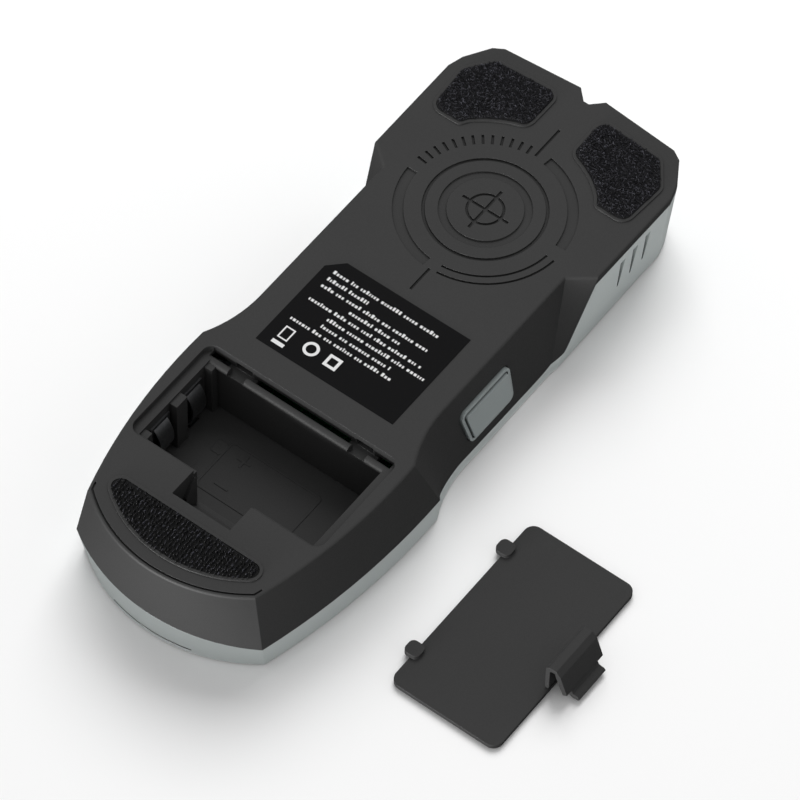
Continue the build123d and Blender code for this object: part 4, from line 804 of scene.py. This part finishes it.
jitter = add_node(hook_tree, "FunctionNodeRandomValue",
                  {"Min": (-STRAY_X, -STRAY_Y, 0.0), "Max": (STRAY_X, STRAY_Y, 0.0),
                   "Seed": given.outputs["Seed"]}, data_type="FLOAT_VECTOR")
bed_offset = add_node(hook_tree, "ShaderNodeVectorMath", {0: bed_place.outputs["Vector"],
                                                          1: jitter.outputs["Value"]}, operation="ADD")
placed = add_node(hook_tree, "GeometryNodeSetPosition", {"Geometry": bed.outputs["Mesh"],
                                                         "Offset": bed_offset.outputs["Vector"]})
# Hooks stand only where a ray from above meets the pad.
here = add_node(hook_tree, "GeometryNodeInputPosition")
above = add_node(hook_tree, "ShaderNodeVectorMath", {0: here.outputs["Position"], 1: (0, 0, PROBE_HEIGHT)},
                 operation="ADD")
probe = add_node(hook_tree, "GeometryNodeRaycast", {"Target Geometry": given.outputs["Geometry"],
                                                    "Source Position": above.outputs["Vector"],
                                                    "Ray Direction": (0, 0, -1),
                                                    "Ray Length": 2 * PROBE_HEIGHT})
# One hook: a straight stalk with a crook bent over its top.
crook_radius = add_node(hook_tree, "ShaderNodeMath", {0: given.outputs["Hook Height"], 1: CROOK_SHARE},
                        operation="MULTIPLY")
stalk_height = add_node(hook_tree, "ShaderNodeMath", {0: given.outputs["Hook Height"], 1: STALK_SHARE},
                        operation="MULTIPLY")
crook = add_node(hook_tree, "GeometryNodeCurveArc",
                 {"Resolution": CROOK_POINTS, "Radius": crook_radius.outputs["Value"], "Start Angle": 0.0,
                  "Sweep Angle": math.radians(CROOK_SWEEP)})
crook_shift = add_node(hook_tree, "ShaderNodeMath", {0: crook_radius.outputs["Value"], 1: -1.0},
                       operation="MULTIPLY")
crook_place = add_node(hook_tree, "ShaderNodeCombineXYZ", {"X": crook_shift.outputs["Value"],
                                                           "Z": stalk_height.outputs["Value"]})
crook_up = add_node(hook_tree, "GeometryNodeTransform", {"Geometry": crook.outputs["Curve"],
                                                         "Rotation": (math.radians(90), 0, 0),
                                                         "Translation": crook_place.outputs["Vector"]})
stalk_top = add_node(hook_tree, "ShaderNodeCombineXYZ", {"Z": stalk_height.outputs["Value"]})
stalk = add_node(hook_tree, "GeometryNodeCurvePrimitiveLine", {"Start": (0, 0, -ROOT_DEPTH),
                                                               "End": stalk_top.outputs["Vector"]})
hook_lines = add_node(hook_tree, "GeometryNodeJoinGeometry")
hook_tree.links.new(crook_up.outputs["Geometry"], hook_lines.inputs["Geometry"])
hook_tree.links.new(stalk.outputs["Curve"], hook_lines.inputs["Geometry"])
section = add_node(hook_tree, "GeometryNodeCurvePrimitiveCircle",
                   {"Resolution": FILAMENT_SIDES, "Radius": given.outputs["Filament Radius"]})
hook_mesh = add_node(hook_tree, "GeometryNodeCurveToMesh", {"Curve": hook_lines.outputs["Geometry"],
                                                            "Profile Curve": section.outputs["Curve"],
                                                            "Fill Caps": True})
lean = add_node(hook_tree, "FunctionNodeRandomValue",
                {"Min": (-HOOK_LEAN_X, -HOOK_LEAN_Y, HOOK_TURN_LEAST),
                 "Max": (HOOK_LEAN_X, HOOK_LEAN_Y, HOOK_TURN_MOST),
                 "Seed": given.outputs["Seed"]}, data_type="FLOAT_VECTOR")
growth = add_node(hook_tree, "FunctionNodeRandomValue",
                  {2: HOOK_SMALLEST, 3: HOOK_LARGEST, "Seed": given.outputs["Seed"]}, data_type="FLOAT")
hooks = add_node(hook_tree, "GeometryNodeInstanceOnPoints",
                 {"Points": placed.outputs["Geometry"], "Selection": probe.outputs["Is Hit"],
                  "Instance": hook_mesh.outputs["Mesh"], "Rotation": lean.outputs["Value"],
                  "Scale": growth.outputs[1]})
finish_pile(hook_tree, given, hooks, "Filament", HOOK_GLINT_SEED)

# Hook pile: blacker and glossier than the loops, with a paler hook here and there as a painted glint.
hook_nylon = yarn("black nylon hook pile", "#050506", "#42424a", roughness=0.45, fuzz=0.03, rarity=3.5)
base_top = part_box("base_pad")[1].z
base_pile = pad_backing("base_pad_pile", "base_pad", base_top - HOOK_PILE_DEPTH)
run_tree(base_pile, hook_tree, {row_input: HOOK_ROW_PITCH, pitch_input: HOOK_PITCH, height_input: HOOK_HEIGHT,
                                filament_input: FILAMENT_RADIUS, hook_seed_input: HOOK_SEED,
                                hook_coat_input: hook_nylon})
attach(base_pile, "housing")
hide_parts("base_pad")

# ------------------------------------------------------------------ loose battery cover and its latch
# Thin black ABS plate lying on its outer face, with two hooks and a bent spring latch, moulded in one
# on the real tool. It hooks under the bay's far edge and snaps in with the latch.

# Inner face of the cover: the rear half's eroded grain in a slightly darker, smoother skin.
cover_abs = moulded_plastic("eroded black ABS, inner face", body="#2a2a2a", streak="#2d2d2d", edge="#484848",
                            roughness=0.64, grain_mm=0.3, grain_height_mm=0.014, edge_wear_and_highlight=0.5)
dress(cover_abs, "battery_cover", "cover_latch")
